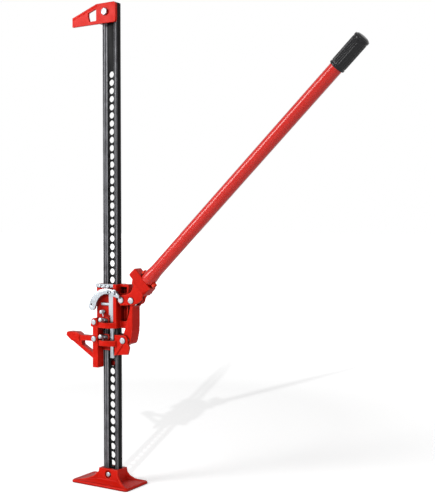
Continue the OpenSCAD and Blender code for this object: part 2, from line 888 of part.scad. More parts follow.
module lower_spring_screw() {
    color("silver")
        spring_screw(lo_z + spring_lo);
}

module upper_spring_screw() {
    color("silver")
        spring_screw(hi_z + spring_hi);
}

module roller(z) {
    half = roller_w / 2;
    color([0.55, 0.55, 0.57])
    difference() {
        rod(roller_d / 2, -half, half, roller_x, z);
        rod(roller_pin_r + pin_gap, -roller_w, roller_w, roller_x, z);
    }
}

module upper_roller() {
    roller(hi_z);
}

module lower_roller() {
    roller(lo_z);
}

module roller_pins() {
    head_r = roller_pin_d * 0.9;
    color("silver")
        for (z = [lo_z, hi_z])
            headed_pin(roller_pin_r, head_r, link_head_t, roller_front, roller_back + clip_t * 2, roller_x, z);
}

module roller_pin_clips() {
    color("silver")
        for (z = [lo_z, hi_z])
            clip(roller_pin_r, roller_back, roller_x, z);
}

module handle_pivot_pin() {
    color("silver")
        headed_pin(link_r, link_head_r, link_head_t, plate_out, plate_out + clip_t * 2, pivot_x, pivot_z);
}

module handle_pivot_clip() {
    color("silver")
        clip(link_r, plate_out, pivot_x, pivot_z);
}

module upper_pitman_pin() {
    color("silver")
        headed_pin(link_r, link_head_r, link_head_t, plate_out, plate_out + clip_t * 2, crank_x, pivot_z);
}

module upper_pitman_clip() {
    color("silver")
        clip(link_r, plate_out, crank_x, pivot_z);
}

module lower_pitman_pin() {
    color("silver")
        headed_pin(link_r, link_head_r, link_head_t, plate_out, plate_out + clip_t * 2, lug_x, lug_z);
}

module lower_pitman_clip() {
    color("silver")
        clip(link_r, plate_out, lug_x, lug_z);
}

/* Reversing gear */

module latch_plate() {
    low = top_z - plate_h;
    color([0.82, 0.83, 0.85])
    difference() {
        block([plate_left, -shell_y - plate_sheet, low], [plate_right, -shell_y, top_z]);
        for (i = [-1 : 1])
            rod(plate_screw_r + pin_gap, -column_front, 0, plate_cx + i * plate_screw_step, plate_screw_z);
    }
}

module latch_plate_screws() {
    color("silver")
        for (i = [-1 : 1]) {
            rod(plate_screw_r, -shell_y - plate_sheet - 0.5 * plate_sheet, -shell_y + shell_wall * 0.6,
                plate_cx + i * plate_screw_step, plate_screw_z);
            rod(plate_screw_r * 1.7, -shell_y - plate_sheet * 1.7, -shell_y - plate_sheet,
                plate_cx + i * plate_screw_step, plate_screw_z);
        }
}

module latch_outline() {
    tip_r = (latch_r - latch_in_r) * 0.54;
    right = latch_px + latch_tail;
    in_x = latch_cx + latch_set_in;
    in_z = latch_cz + latch_set_up;
    tip_x = latch_cx - latch_r + tip_r;
    tip_z = latch_cz + tip_r;
    difference() {
        union() {
            difference() {
                translate([latch_cx, latch_cz])
                    circle(r = latch_r, $fn = 96);
                translate([in_x, in_z])
                    circle(r = latch_in_r, $fn = 96);
                translate([latch_cx - latch_r - over, latch_cz - latch_r - over])
                    square([latch_r + 2 * over + latch_r * 2, latch_r + tip_r + over]);
                polygon([[in_x, latch_cz], [in_x, latch_pz - latch_heel],
                    [right + over, latch_pz - latch_toe], [right + over, latch_cz]]);
                translate([right, latch_cz])
                    square(latch_r * 2);
            }
            translate([tip_x, tip_z])
                circle(r = tip_r, $fn = 32);
            translate([latch_px, latch_pz])
                circle(r = latch_pin_r + latch_eye, $fn = 48);
        }
        translate([tip_x - tip_r * 0.1, tip_z + tip_r * 0.4])
            circle(r = tip_r * 0.25, $fn = 32);
        translate([latch_px, latch_pz])
            circle(r = latch_pin_r + pin_gap, $fn = 48);
        translate([latch_px - stud_r - stud_slot_l / 2, latch_pz - stud_slot_r])
            square([stud_slot_l, 2 * stud_slot_r]);
        for (s = [-1, 1])
            translate([latch_px - stud_r + s * stud_slot_l / 2, latch_pz])
                circle(r = stud_slot_r, $fn = 32);
    }
}

module reversing_latch() {
    color([0.82, 0.83, 0.85])
        slab(-latch_out, -latch_y)
            latch_outline();
}

module latch_pivot_pin() {
    color("silver") {
        rod(latch_pin_r, -latch_out - lap, -post_front + latch_pin_depth, latch_px, latch_pz);
        rod(latch_pin_r * 1.6, -latch_out - latch_pin_r, -latch_out - side_gap, latch_px, latch_pz);
    }
}

module reversing_bar() {
    x = latch_px - stud_r;
    arm_z = latch_cz + rev_arm_rise;
    far = rev_x + rev_w;
    color([0.82, 0.83, 0.85]) {
        block([rev_x, -rev_y - rev_t, rev_low], [far, -rev_y, rev_top]);
        block([rev_x - rev_neck_w, -rev_y - rev_t, hi_z + rev_neck], [far, -rev_y, rev_top]);
        block([-column_in + rev_arm_set, -rev_y - rev_t, arm_z], [far, -rev_y, arm_z + rev_arm_h]);
        rod(stud_pin_r, -latch_out + side_gap, -rev_y, x, latch_pz);
    }
}

/* Handle */

// Places what is drawn along +Z on the axis of the handle, starting abreast of the pivot
module on_handle(out) {
    translate([pivot_x, 0, pivot_z])
        rotate([0, 90 - handle_angle, 0])
            translate([handle_drop, 0, out])
                children();
}

// The fork of the socket about the pivot, +X along the handle; front and back differ at the lower edge
module socket_outline(lower) {
    r = link_head_r + socket_margin;
    out = collar_out - collar_t;
    half = collar_h / 2;
    crank = [crank_r * cos(handle_angle), -crank_r * sin(handle_angle)];
    circle(r);
    translate(crank)
        circle(r);
    polygon(concat([[0, r], [-r * 0.93, -r * 0.7]], [for (share = lower) crank + r * share],
        [[out, -half * 0.98], [out, half * 0.35], [out * 0.88, half * 0.06], [out * 0.68, -half * 0.11],
            [out * 0.54, -half * 0.11], [out * 0.31, half * 0.03], [out * 0.1, half * 0.32]]));
}

// Places what is drawn with +X along the handle and +Z across it, about the pivot
module about_pivot() {
    translate([pivot_x, 0, pivot_z])
        rotate([0, -handle_angle, 0])
            children();
}

// The collar, which narrows from the fork to its far face
module socket_collar() {
    start = collar_out - collar_t;
    corner = collar_corner;
    intersection() {
        translate([start - collar_web, 0, 0])
            rotate([90, 0, 90])
                linear_extrude(collar_web + collar_t)
                    offset(r = corner)
                        square([collar_root_w - 2 * corner, collar_h - 2 * corner], center = true);
        translate([0, 0, -collar_h])
            linear_extrude(2 * collar_h)
                polygon([[start - collar_web, -collar_root_w / 2], [start, -collar_root_w / 2],
                    [collar_out, -collar_w / 2], [collar_out, collar_w / 2],
                    [start, collar_root_w / 2], [start - collar_web, collar_root_w / 2]]);
        slab(-collar_root_w, collar_root_w)
            polygon([[start - collar_web, collar_h * 0.15], [start, collar_h * 0.22], [start, collar_h],
                [collar_out, collar_h], [collar_out, -collar_h], [start - collar_web, -collar_h]]);
    }
}

module handle_socket() {
    color([0.88, 0.14, 0.1])
    difference() {
        union() {
            about_pivot() {
                slab(-plate_out, -plate_in)
                    socket_outline(front_fork_shares);
                slab(plate_in, plate_out)
                    socket_outline(back_fork_shares);
                socket_collar();
            }
            on_handle(collar_out - collar_t)
                cylinder(r = spigot_r, h = collar_t + spigot_l);
        }
        rod(link_r + pin_gap, -bar_w, bar_w, pivot_x, pivot_z);
        rod(link_r + pin_gap, -bar_w, bar_w, crank_x, pivot_z);
        on_handle(collar_out + socket_bolt_d)
            rotate([0, 90, 0])
                cylinder(r = socket_bolt_d / 2 + pin_gap, h = 2 * flare_d, center = true);
    }
}

module handle_pipe() {
    root = collar_out;
    straight = collar_out + socket_bolt_d * 1.5;
    flare_end = collar_out + flare_l;
    end = collar_out + handle_l - grip_end;
    color([0.9, 0.15, 0.1])
    difference() {
        on_handle(0)
            rotate_extrude()
                polygon([[pipe_bore_r, root], [flare_d / 2 - flare_bevel * 0.7, root],
                    [flare_d / 2, root + flare_bevel], [flare_d / 2, straight],
                    [pipe_d / 2, flare_end], [pipe_d / 2, end], [pipe_bore_r, end]]);
        on_handle(collar_out + socket_bolt_d)
            rotate([0, 90, 0])
                cylinder(r = socket_bolt_d / 2 + pin_gap, h = 2 * flare_d, center = true);
    }
}

module handle_grip() {
    wall = (grip_d - pipe_d) / 2;
    dome = grip_d * 0.12;
    start = collar_out + handle_l - grip_l;
    end = collar_out + handle_l;
    inner = pipe_d / 2 + pin_gap;
    color([0.2, 0.2, 0.21])
        on_handle(0)
            rotate_extrude()
                polygon([[inner, start], [grip_d / 2 - wall * 0.4, start], [grip_d / 2, start + wall * 0.4],
                    [grip_d / 2, end - dome], [grip_d / 2 - dome * 0.3, end - dome * 0.4],
                    [grip_d / 2 - dome, end], [0, end], [0, end - grip_end + pin_gap],
                    [inner, end - grip_end + pin_gap]]);
}

module socket_bolt() {
    reach = flare_d / 2;
    head = socket_bolt_d * 0.6;
    color("silver")
        on_handle(collar_out + socket_bolt_d)
            rotate([0, -90, 0])
                translate([0, 0, -reach - socket_bolt_d]) {
                    cylinder(r = socket_bolt_d / 2, h = 2 * reach + socket_bolt_d + head / 2);
                    translate([0, 0, 2 * reach + socket_bolt_d])
                        cylinder(d = socket_bolt_d * 1.9, h = head, $fn = 6);
                }
}

module socket_nut() {
    reach = flare_d / 2;
    nut = socket_bolt_d * 0.8;
    color("silver")
        on_handle(collar_out + socket_bolt_d)
            rotate([0, 90, 0])
                translate([0, 0, reach])
                    difference() {
                        cylinder(d = socket_bolt_d * 1.9, h = nut, $fn = 6);
                        translate([0, 0, -over])
                            cylinder(r = socket_bolt_d / 2 + pin_gap, h = nut + 2 * over);
                    }
}

/* Pitman */

module pitman_outline() {
    r = link_r + eye_margin;
    foot = link_r + foot_margin;
    drop = pivot_z - lug_z;
    right = spine + bow;
    turn = lug_x + crank_shift;
    polygon(concat(
        [for (a = [0 : 20 : 220]) [crank_x + r * cos(a), pivot_z + r * sin(a)]],
        [[crank_x - r * 0.75, pivot_z - drop * 0.2], [crank_x - r * 0.95, pivot_z - drop * 0.3],
            [crank_x - r * 1.43, pivot_z - drop * 0.48], [crank_x - r * 1.93, pivot_z - drop * 0.68]],
        [for (a = [120 : 20 : 260]) [lug_x + foot * cos(a), lug_z + foot * sin(a)]],
        [[turn, lug_z - foot], [turn + foot * 0.7, lug_z - foot * 0.7], [turn + foot, lug_z],
            [right - bow * 0.5, lug_z + drop * 0.12], [right - bow * 0.15, lug_z + drop * 0.22],
            [right, lug_z + drop * 0.38], [right, lug_z + drop * 0.82], [crank_x + r, pivot_z - r * 0.4]]));
}

module pitman() {
    slot_r = link_r + slot_play;
    low = band_hi_z - hole_pitch * 0.75;
    color([0.86, 0.13, 0.1])
    difference() {
        slab(-cheek_out, cheek_out)
            pitman_outline();
        block([0, -cheek_in, low], [spine, cheek_in, top_z]);
        block([spine - lap, -cheek_in, pivot_z - link_r - nook_margin],
            [crank_x + link_r + nook_margin, cheek_in, top_z]);
        rod(link_r + pin_gap, -bar_w, bar_w, crank_x, pivot_z);
        slab(-bar_w, bar_w) {
            translate([lug_x, lug_z - slot_r])
                square([crank_shift, 2 * slot_r]);
            for (x = [0, crank_shift])
                translate([lug_x + x, lug_z])
                    circle(r = slot_r, $fn = 48);
        }
    }
}

standard_bar();
base_plate();
base_pin();
base_pin_clip();
top_claw();
claw_bolt();
claw_nut();
small_runner();
lower_pitman_pin();
lower_pitman_clip();
lower_climbing_pin();
lower_cross_pin();
lower_pin_spring();
lower_spring_screw();
large_runner();
upper_climbing_pin();
upper_cross_pin();
upper_pin_spring();
upper_spring_screw();
upper_roller();
lower_roller();
roller_pins();
roller_pin_clips();
handle_pivot_pin();
handle_pivot_clip();
latch_plate();
latch_plate_screws();
reversing_latch();
latch_pivot_pin();
reversing_bar();
handle_socket();
handle_pipe();
handle_grip();
socket_bolt();
socket_nut();
upper_pitman_pin();
upper_pitman_clip();
pitman();
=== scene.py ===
"""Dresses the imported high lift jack.

Its castings are enamelled, its pins zinc-plated, its standard powder-coated and its grip moulded rubber.
"""

import logging
import math
from dataclasses import dataclass
from enum import Enum

import bmesh
import bpy
from mathutils import Matrix, Vector

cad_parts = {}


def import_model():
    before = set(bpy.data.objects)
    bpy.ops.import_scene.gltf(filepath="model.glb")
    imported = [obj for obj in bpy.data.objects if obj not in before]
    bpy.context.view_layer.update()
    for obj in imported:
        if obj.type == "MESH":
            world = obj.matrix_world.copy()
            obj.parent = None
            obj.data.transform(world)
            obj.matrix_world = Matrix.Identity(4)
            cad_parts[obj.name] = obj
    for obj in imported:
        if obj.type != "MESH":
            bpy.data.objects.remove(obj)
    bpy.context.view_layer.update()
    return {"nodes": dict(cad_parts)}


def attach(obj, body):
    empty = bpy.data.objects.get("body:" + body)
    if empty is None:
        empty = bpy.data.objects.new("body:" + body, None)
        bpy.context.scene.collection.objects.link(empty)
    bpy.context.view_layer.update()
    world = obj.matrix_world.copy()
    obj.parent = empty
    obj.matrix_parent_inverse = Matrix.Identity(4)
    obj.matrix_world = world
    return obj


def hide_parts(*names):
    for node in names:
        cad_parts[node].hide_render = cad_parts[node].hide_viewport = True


LOG = logging.getLogger("jack")

# Metres in a millimetre.
MM = 0.001

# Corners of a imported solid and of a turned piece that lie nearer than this, in metres, are made one.
WELD = 1e-6
FINE_WELD = 1e-7

# Faces flatter to each other than the first angle are joined before edges sharper than the second are
# rounded, both in degrees.
FLAT_DEG = 1.0
ROUNDED_DEG = 35.0

# A casting's fine skin is smoothed with this strength, and this share of its faces is kept.
SMOOTHING = 0.5
SKIN_KEPT = 0.3

# A direction that no wire of the jack runs along, from which the first ring of a wire is set out.
ASIDE = Vector((0.31, 0.17, 0.93))

# How much the lands between flutes are broadened.
FLUTE_FORM = 1.5

# Where most of a noise's values lie, and how many finer noises are laid over a cloud and over a grain.
NOISE_SPAN = (0.3, 0.7)
CLOUD_DETAIL = 3.0
GRAIN_DETAIL = 2.0

# The numbers of a colour mix's sockets: its share, its two colours and, going out, what they give.
SHARE, UNDER, OVER, MIXED = 0, 6, 7, 2

# How pointed a surface is where the painted highlight on outer edges and the painted shade in inner corners
# begin and where they are full, and how much of them shows at most.
EDGE_HIGHLIGHT_SPAN = (0.515, 0.56)
CORNER_SHADE_SPAN = (0.485, 0.43)
EDGE_SHARE = 0.75

# How open a place is where the painted shade of a recess is darkest and where it is gone, how dark that shade
# gets, and the number of rays that feel for it.
RECESS_SHADE_SPAN = (0.15, 0.8)
RECESS_SHARE = 0.92
RECESS_RAYS = 8

# How soon a surface counts as turned from the eye, and how far it has turned where its painted shade starts
# and where it is darkest.
AWAY_BLEND = 0.4
AWAY_SHADE_SPAN = (0.45, 1.0)

WHITE = (1.0, 1.0, 1.0, 1.0)


class Tone(Enum):
    """The sRGB colours of the real finishes and of the painted highlights and shade laid over them, as hex
    values.
    """

    SIGNAL_RED = "D21806"
    RED_CLOUD = "C01606"
    # A painted highlight on the castings' outer edges.
    RED_EDGE_HIGHLIGHT = "F04A34"
    # Painted shade in the castings' inner corners.
    RED_CORNER_SHADE = "8E0A04"
    # Painted shade in the castings' recesses.
    RED_RECESS_SHADE = "2E0402"
    BLACK_COAT = "0C0C0D"
    BLACK_CLOUD = "161618"
    BLACK_EDGE = "2A2A2C"
    # A painted highlight on the standard's rolled edges.
    BLACK_HIGHLIGHT = "A2A2A8"
    ZINC = "ACB1B6"
    ZINC_CLOUD = "92979D"
    # Painted shade in the zinc parts' recesses.
    ZINC_RECESS_SHADE = "2C2F33"
    BARE_STEEL = "A2A4A8"
    STEEL_OIL = "77787B"
    RUBBER = "101012"
    RUBBER_DUST = "222225"
    # Painted shade where a surface turns from the eye.
    TURNED_AWAY_SHADE = "0A0202"
    FLOOR = "F4F4F4"


class Crease(Enum):
    """The least angle, in degrees, at which an edge of a piece is shaded hard, by how the piece is made."""

    MACHINED = 32.0
    TURNED = 40.0
    CAST = 50.0
    WIRE = 60.0


class Rounding(Enum):
    """How far the rounding on a small part's edges reaches, in millimetres."""

    CLIP = 0.25
    SCREW = 0.4
    FINE = 0.5
    PLAIN = 0.6
    BOLT = 0.7
    BAR = 0.8
    LATCH = 1.0


def linear(tone: Tone) -> tuple[float, float, float, float]:
    """Turns an sRGB hex colour to linear light.

    Args:
        tone: the colour.

    Returns:
        Red, green, blue and alpha in linear light.
    """
    parts = [int(tone.value[i:i + 2], 16) / 255 for i in (0, 2, 4)]
    light = [c / 12.92 if c <= 0.04045 else ((c + 0.055) / 1.055) ** 2.4 for c in parts]
    return light[0], light[1], light[2], 1.0


def add_node(tree: bpy.types.NodeTree, kind: str, settings: dict | None = None,
             links: dict | None = None) -> bpy.types.Node:
    """Adds one shader node with its settings and links.

    Args:
        tree: the node tree of a material or of the world.
        kind: the node's type name.
        settings: attribute or socket values by name, or socket values by number.
        links: output sockets by the input that each feeds.

    Returns:
        The new node.
    """
    node = tree.nodes.new(kind)
    for name, value in (settings or {}).items():
        if isinstance(name, str) and hasattr(node, name) and name not in node.inputs:
            setattr(node, name, value)
        else:
            node.inputs[name].default_value = value
    for name, socket in (links or {}).items():
        tree.links.new(socket, node.inputs[name])
    return node


@dataclass(frozen=True)
class Finish:
    """A surface finish: two mixed tones, a fine relief, and a painted highlight on its edges and painted
    shade in its corners, recesses and turned-away sides.

    Attributes:
        name: the name of its material.
        tone: its main colour.
        cloud: the colour that drifts through it.
        cloud_share: how much of that colour shows at most.
        cloud_mm: the size of a cloud, in millimetres.
        metallic: 1 for bare or plated metal and 0 for paint and rubber.
        roughness: its middle roughness.
        rough_spread: how far its roughness wanders to either side.
        grain_mm: the size of its grain, in millimetres.
        grain_depth: the depth of its grain, in millimetres.
        specular: the level of its gloss where it isn't metal.
        rim: the colour of the painted highlight on its outer edges.
        corner_shade: the colour of the painted shade in its inner corners.
        recess_shade: the colour of the painted shade in its closed-in places.
        recess_mm: how wide such a place is, in millimetres.
        away_shade: how much painted shade darkens it where it turns from the eye.
    """

    name: str
    tone: Tone
    cloud: Tone
    cloud_share: float
    cloud_mm: float
    metallic: float
    roughness: float
    rough_spread: float
    grain_mm: float
    grain_depth: float
    specular: float = 0.5
    rim: Tone | None = None
    corner_shade: Tone | None = None
    recess_shade: Tone | None = None
    recess_mm: float = 24.0
    away_shade: float = 0.0

    def lay_tones(self, tree: bpy.types.NodeTree, colour: bpy.types.NodeSocket) -> bpy.types.NodeSocket:
        """Lays the painted highlight on edges and the painted shade in corners, recesses and turned-away
        sides over the clouded colour.

        Args:
            tree: the material's node tree.
            colour: the clouded colour.

        Returns:
            The finished colour.
        """
        layers = []
        # Painted highlight on outer edges and painted shade in inner corners, by how pointed the surface is.
        for tone, span in ((self.rim, EDGE_HIGHLIGHT_SPAN), (self.corner_shade, CORNER_SHADE_SPAN)):
            if tone is not None:
                form = add_node(tree, "ShaderNodeNewGeometry")
                layers.append((tone, form.outputs["Pointiness"], span, (0.0, EDGE_SHARE)))
        # Painted shade in recesses, by how open the place is.
        if self.recess_shade is not None:
            hollow = add_node(tree, "ShaderNodeAmbientOcclusion",
                              {"samples": RECESS_RAYS, "Distance": self.recess_mm * MM})
            layers.append((self.recess_shade, hollow.outputs["AO"], RECESS_SHADE_SPAN, (RECESS_SHARE, 0.0)))
        # Painted shade where the surface turns from the eye.
        if self.away_shade:
            side = add_node(tree, "ShaderNodeLayerWeight", {"Blend": AWAY_BLEND})
            layers.append((Tone.TURNED_AWAY_SHADE, side.outputs["Facing"], AWAY_SHADE_SPAN, (0.0, self.away_shade)))
        for tone, value, span, shares in layers:
            share = add_node(tree, "ShaderNodeMapRange",
                             {"From Min": span[0], "From Max": span[1], "To Min": shares[0],
                              "To Max": shares[1]}, {"Value": value})
            laid = add_node(tree, "ShaderNodeMix", {"data_type": "RGBA", OVER: linear(tone)},
                            {SHARE: share.outputs[0], UNDER: colour})
            colour = laid.outputs[MIXED]
        return colour

    def build(self) -> bpy.types.Material:
        """Builds the finish as a material of nodes.

        Returns:
            The material.
        """
        material = bpy.data.materials.new(self.name)
        material.use_nodes = True
        tree = material.node_tree
        tree.nodes.clear()
        low, high = NOISE_SPAN
        place = add_node(tree, "ShaderNodeTexCoord")
        cloud = add_node(tree, "ShaderNodeTexNoise",
                         {"Scale": 1 / (self.cloud_mm * MM), "Detail": CLOUD_DETAIL},
                         {"Vector": place.outputs["Object"]})
        share = add_node(tree, "ShaderNodeMapRange",
                         {"From Min": low, "From Max": high, "To Min": 0.0, "To Max": self.cloud_share},
                         {"Value": cloud.outputs["Fac"]})
        clouded = add_node(tree, "ShaderNodeMix",
                           {"data_type": "RGBA", UNDER: linear(self.tone), OVER: linear(self.cloud)},
                           {SHARE: share.outputs[0]})
        rough = add_node(tree, "ShaderNodeMapRange",
                         {"From Min": low, "From Max": high, "To Min": self.roughness - self.rough_spread,
                          "To Max": self.roughness + self.rough_spread}, {"Value": cloud.outputs["Fac"]})
        grain = add_node(tree, "ShaderNodeTexNoise",
                         {"Scale": 1 / (self.grain_mm * MM), "Detail": GRAIN_DETAIL},
                         {"Vector": place.outputs["Object"]})
        bump = add_node(tree, "ShaderNodeBump", {"Strength": 1.0, "Distance": self.grain_depth * MM},
                        {"Height": grain.outputs["Fac"]})
        surface = add_node(tree, "ShaderNodeBsdfPrincipled",
                           {"Metallic": self.metallic, "Specular IOR Level": self.specular},
                           {"Base Color": self.lay_tones(tree, clouded.outputs[MIXED]),
                            "Roughness": rough.outputs[0], "Normal": bump.outputs[0]})
        add_node(tree, "ShaderNodeOutputMaterial", None, {"Surface": surface.outputs[0]})
        material.diffuse_color = linear(self.tone)
        return material


# Enamel baked on sand-cast iron: a smooth skin over a faint sand texture, with a painted highlight on its
# outer edges, and painted shade in its inner corners, in its recesses and where it turns from the eye. The
# sand grain is drawn at 2.4 mm, coarser than real, so that it shows.
CAST_ENAMEL = Finish("enamel_on_cast_iron", Tone.SIGNAL_RED, Tone.RED_CLOUD, cloud_share=0.6, cloud_mm=26.0,
                     metallic=0.0, roughness=0.42, rough_spread=0.06, grain_mm=2.4, grain_depth=0.05,
                     specular=0.1, rim=Tone.RED_EDGE_HIGHLIGHT, corner_shade=Tone.RED_CORNER_SHADE, recess_shade=Tone.RED_RECESS_SHADE,
                     recess_mm=30.0, away_shade=0.8)
# Enamel on drawn steel tube: smoother than the castings, with a long clean highlight, and painted shade where
# it turns from the eye. What relief it has is drawn at 9 mm, far coarser than real, as a barely felt wave.
TUBE_ENAMEL = Finish("enamel_on_steel_tube", Tone.SIGNAL_RED, Tone.RED_CLOUD, cloud_share=0.3, cloud_mm=60.0,
                     metallic=0.0, roughness=0.22, rough_spread=0.01, grain_mm=9.0, grain_depth=0.0005,
                     specular=0.36, away_shade=0.9)
# Black powder coat on rolled section: satin, with the orange peel of a baked powder, some 1.8 mm wide.
POWDER_COAT = Finish("powder_coat_on_rolled_steel", Tone.BLACK_COAT, Tone.BLACK_CLOUD, cloud_share=0.5,
                     cloud_mm=24.0, metallic=0.0, roughness=0.36, rough_spread=0.05, grain_mm=1.8,
                     grain_depth=0.03, specular=0.05)
# The same coat on the rolled edges, with a painted highlight: a pale grey colour, and a smoother, glossier
# coat, so that the edge glints. Its peel has run together there and is drawn at 4 mm.
POWDER_HIGHLIGHT = Finish("powder_coat_painted_highlight", Tone.BLACK_HIGHLIGHT, Tone.BLACK_EDGE, cloud_share=0.5,
                     cloud_mm=24.0, metallic=0.0, roughness=0.30, rough_spread=0.03, grain_mm=4.0,
                     grain_depth=0.003, specular=0.6)
# Zinc plate on pressed steel: pale satin metal with soft clouds where the bath left it duller, and painted
# shade in its recesses and where it turns from the eye. Its fine crystals are drawn at 5 mm, coarser than
# real, so that they show as a soft ripple and not as specks.
ZINC_PLATE = Finish("zinc_plate_on_steel", Tone.ZINC, Tone.ZINC_CLOUD, cloud_share=0.6, cloud_mm=24.0,
                    metallic=1.0, roughness=0.38, rough_spread=0.03, grain_mm=5.0, grain_depth=0.004,
                    recess_shade=Tone.ZINC_RECESS_SHADE, recess_mm=7.0, away_shade=0.6)
# Oiled bare steel, turned: darker than plate, with patches of oil. Its tool marks are drawn at 0.9 mm, wider
# than a real feed, so that they show.
OILED_STEEL = Finish("oiled_turned_steel", Tone.BARE_STEEL, Tone.STEEL_OIL, cloud_share=0.8, cloud_mm=6.0,
                     metallic=1.0, roughness=0.34, rough_spread=0.08, grain_mm=0.9, grain_depth=0.02)
# Moulded rubber: a black skin from a polished mould, with a faint bloom, and painted shade where it turns
# from the eye. The mould's texture is drawn at 3 mm, coarser than real.
MOULDED_RUBBER = Finish("moulded_rubber", Tone.RUBBER, Tone.RUBBER_DUST, cloud_share=0.5, cloud_mm=8.0,
                        metallic=0.0, roughness=0.26, rough_spread=0.03, grain_mm=3.0, grain_depth=0.003,
                        specular=0.22, away_shade=0.8)


class Palette:
    """The built finishes, each made once."""

    def __init__(self) -> None:
        """Starts with no material built."""
        self._built: dict[str, bpy.types.Material] = {}

    def get(self, finish: Finish) -> bpy.types.Material:
        """Gives the material of a finish, building it the first time.

        Args:
            finish: the finish wanted.

        Returns:
            The material.
        """
        if finish.name not in self._built:
            self._built[finish.name] = finish.build()
        return self._built[finish.name]


def smooth_by_angle(mesh: bpy.types.Mesh, crease: Crease) -> None:
    """Shades a mesh smooth, and keeps its sharper edges hard.

    Args:
        mesh: the mesh.
        crease: the least angle of a hard edge.
    """
    work = bmesh.new()
    work.from_mesh(mesh)
    limit = math.radians(crease.value)
    for face in work.faces:
        face.smooth = True
    for edge in work.edges:
        edge.smooth = len(edge.link_faces) == 2 and edge.calc_face_angle(0.0) < limit
    work.to_mesh(mesh)
    work.free()


def new_piece(name: str, work: bmesh.types.BMesh) -> bpy.types.Object:
    """Turns mesh work into an object of the scene.

    Args:
        name: the piece's name.
        work: the mesh work, which is freed.

    Returns:
        The object.
    """
    mesh = bpy.data.meshes.new(name)
    work.to_mesh(mesh)
    work.free()
    piece = bpy.data.objects.new(name, mesh)
    bpy.context.scene.collection.objects.link(piece)
    return piece


def cast_copy(node: bpy.types.Object, name: str, voxel_mm: float, soften: int,
              extras: list[bpy.types.Object]) -> bpy.types.Object:
    """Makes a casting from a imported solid: one skin with eased edges and fillets in its corners.

    Args:
        node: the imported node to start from.
        name: the name of the new piece.
        voxel_mm: the grain of the new skin, in millimetres.
        soften: the rounds of smoothing.
        extras: closed pieces that join the casting, removed afterwards.

    Returns:
        The casting.
    """
    work = bmesh.new()
    work.from_mesh(node.data)
    for extra in extras:
        work.from_mesh(extra.data)
    bmesh.ops.remove_doubles(work, verts=work.verts, dist=WELD)
    piece = new_piece(name, work)
    for extra in extras:
        bpy.data.objects.remove(extra)
    remesh = piece.modifiers.new("skin", "REMESH")
    remesh.mode = "VOXEL"
    remesh.voxel_size = voxel_mm * MM
    ease = piece.modifiers.new("ease", "SMOOTH")
    ease.factor = SMOOTHING
    ease.iterations = soften
    thin = piece.modifiers.new("thin", "DECIMATE")
    thin.ratio = SKIN_KEPT
    bpy.context.view_layer.update()
    graph = bpy.context.evaluated_depsgraph_get()
    mesh = bpy.data.meshes.new_from_object(piece.evaluated_get(graph))
    piece.modifiers.clear()
    piece.data = mesh
    smooth_by_angle(mesh, Crease.CAST)
    return piece


def eased_copy(node: bpy.types.Object, name: str, edge_mm: float, segments: int = 2,
               edge_slot: int = -1) -> bpy.types.Object:
    """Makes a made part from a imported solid, with its sharp edges really rounded.

    Args:
        node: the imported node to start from.
        name: the name of the new piece.
        edge_mm: how far each rounding reaches, in millimetres.
        segments: the facets across a rounding.
        edge_slot: the material slot of the roundings, or -1 to keep that of the faces beside them.

    Returns:
        The part.
    """
    work = bmesh.new()
    work.from_mesh(node.data)
    bmesh.ops.remove_doubles(work, verts=work.verts, dist=WELD)
    bmesh.ops.dissolve_limit(work, angle_limit=math.radians(FLAT_DEG), verts=work.verts, edges=work.edges)
    limit = math.radians(ROUNDED_DEG)
    sharp = [edge for edge in work.edges if len(edge.link_faces) == 2 and edge.calc_face_angle(0.0) > limit]
    bmesh.ops.bevel(work, geom=sharp, offset=edge_mm * MM, offset_type="OFFSET", segments=segments,
                    profile=0.5, affect="EDGES", clamp_overlap=False, miter_outer="SHARP", loop_slide=True,
                    material=edge_slot)
    bmesh.ops.triangulate(work, faces=[face for face in work.faces if len(face.verts) > 4])
    piece = new_piece(name, work)
    smooth_by_angle(piece.data, Crease.MACHINED)
    return piece


def prism(points: list[tuple[float, float]], low: float, high: float) -> bpy.types.Object:
    """Raises an outline in X and Z from one depth to another, all in millimetres.

    Args:
        points: the outline.
        low: the depth of its front.
        high: the depth of its back.

    Returns:
        The closed prism.
    """
    work = bmesh.new()
    front = [work.verts.new((x * MM, low * MM, z * MM)) for x, z in points]
    back = [work.verts.new((x * MM, high * MM, z * MM)) for x, z in points]
    count = len(points)
    work.faces.new(front)
    work.faces.new(back[::-1])
    for i in range(count):
        j = (i + 1) % count
        work.faces.new((front[j], front[i], back[i], back[j]))
    bmesh.ops.recalc_face_normals(work, faces=work.faces)
    return new_piece("joined", work)


def tube(name: str, path: list[Vector], radius_mm: float, sides: int,
         closed: bool = False) -> bpy.types.Object:
    """Sweeps a round wire along a path in millimetres.

    Args:
        name: the name of the new piece.
        path: the points of its middle line.
        radius_mm: the radius of the wire.
        sides: the facets round the wire.
        closed: whether the path ends where it starts.

    Returns:
        The wire, closed at both ends.
    """
    work = bmesh.new()
    count = len(path)
    rings = []
    across = ASIDE
    for i, point in enumerate(path):
        before = (i - 1) % count if closed else max(i - 1, 0)
        after = (i + 1) % count if closed else min(i + 1, count - 1)
        way = (path[after] - path[before]).normalized()
        across = (across - way * across.dot(way)).normalized()
        other = way.cross(across)
        rings.append([work.verts.new((point + radius_mm * (math.cos(a) * across + math.sin(a) * other)) * MM)
                      for a in (math.tau * k / sides for k in range(sides))])
    for first, second in zip(rings, rings[1:] + (rings[:1] if closed else [])):
        for k in range(sides):
            n = (k + 1) % sides
            work.faces.new((first[k], first[n], second[n], second[k]))
    if not closed:
        work.faces.new(rings[0][::-1])
        work.faces.new(rings[-1])
    bmesh.ops.recalc_face_normals(work, faces=work.faces)
    piece = new_piece(name, work)
    smooth_by_angle(piece.data, Crease.WIRE)
    return piece


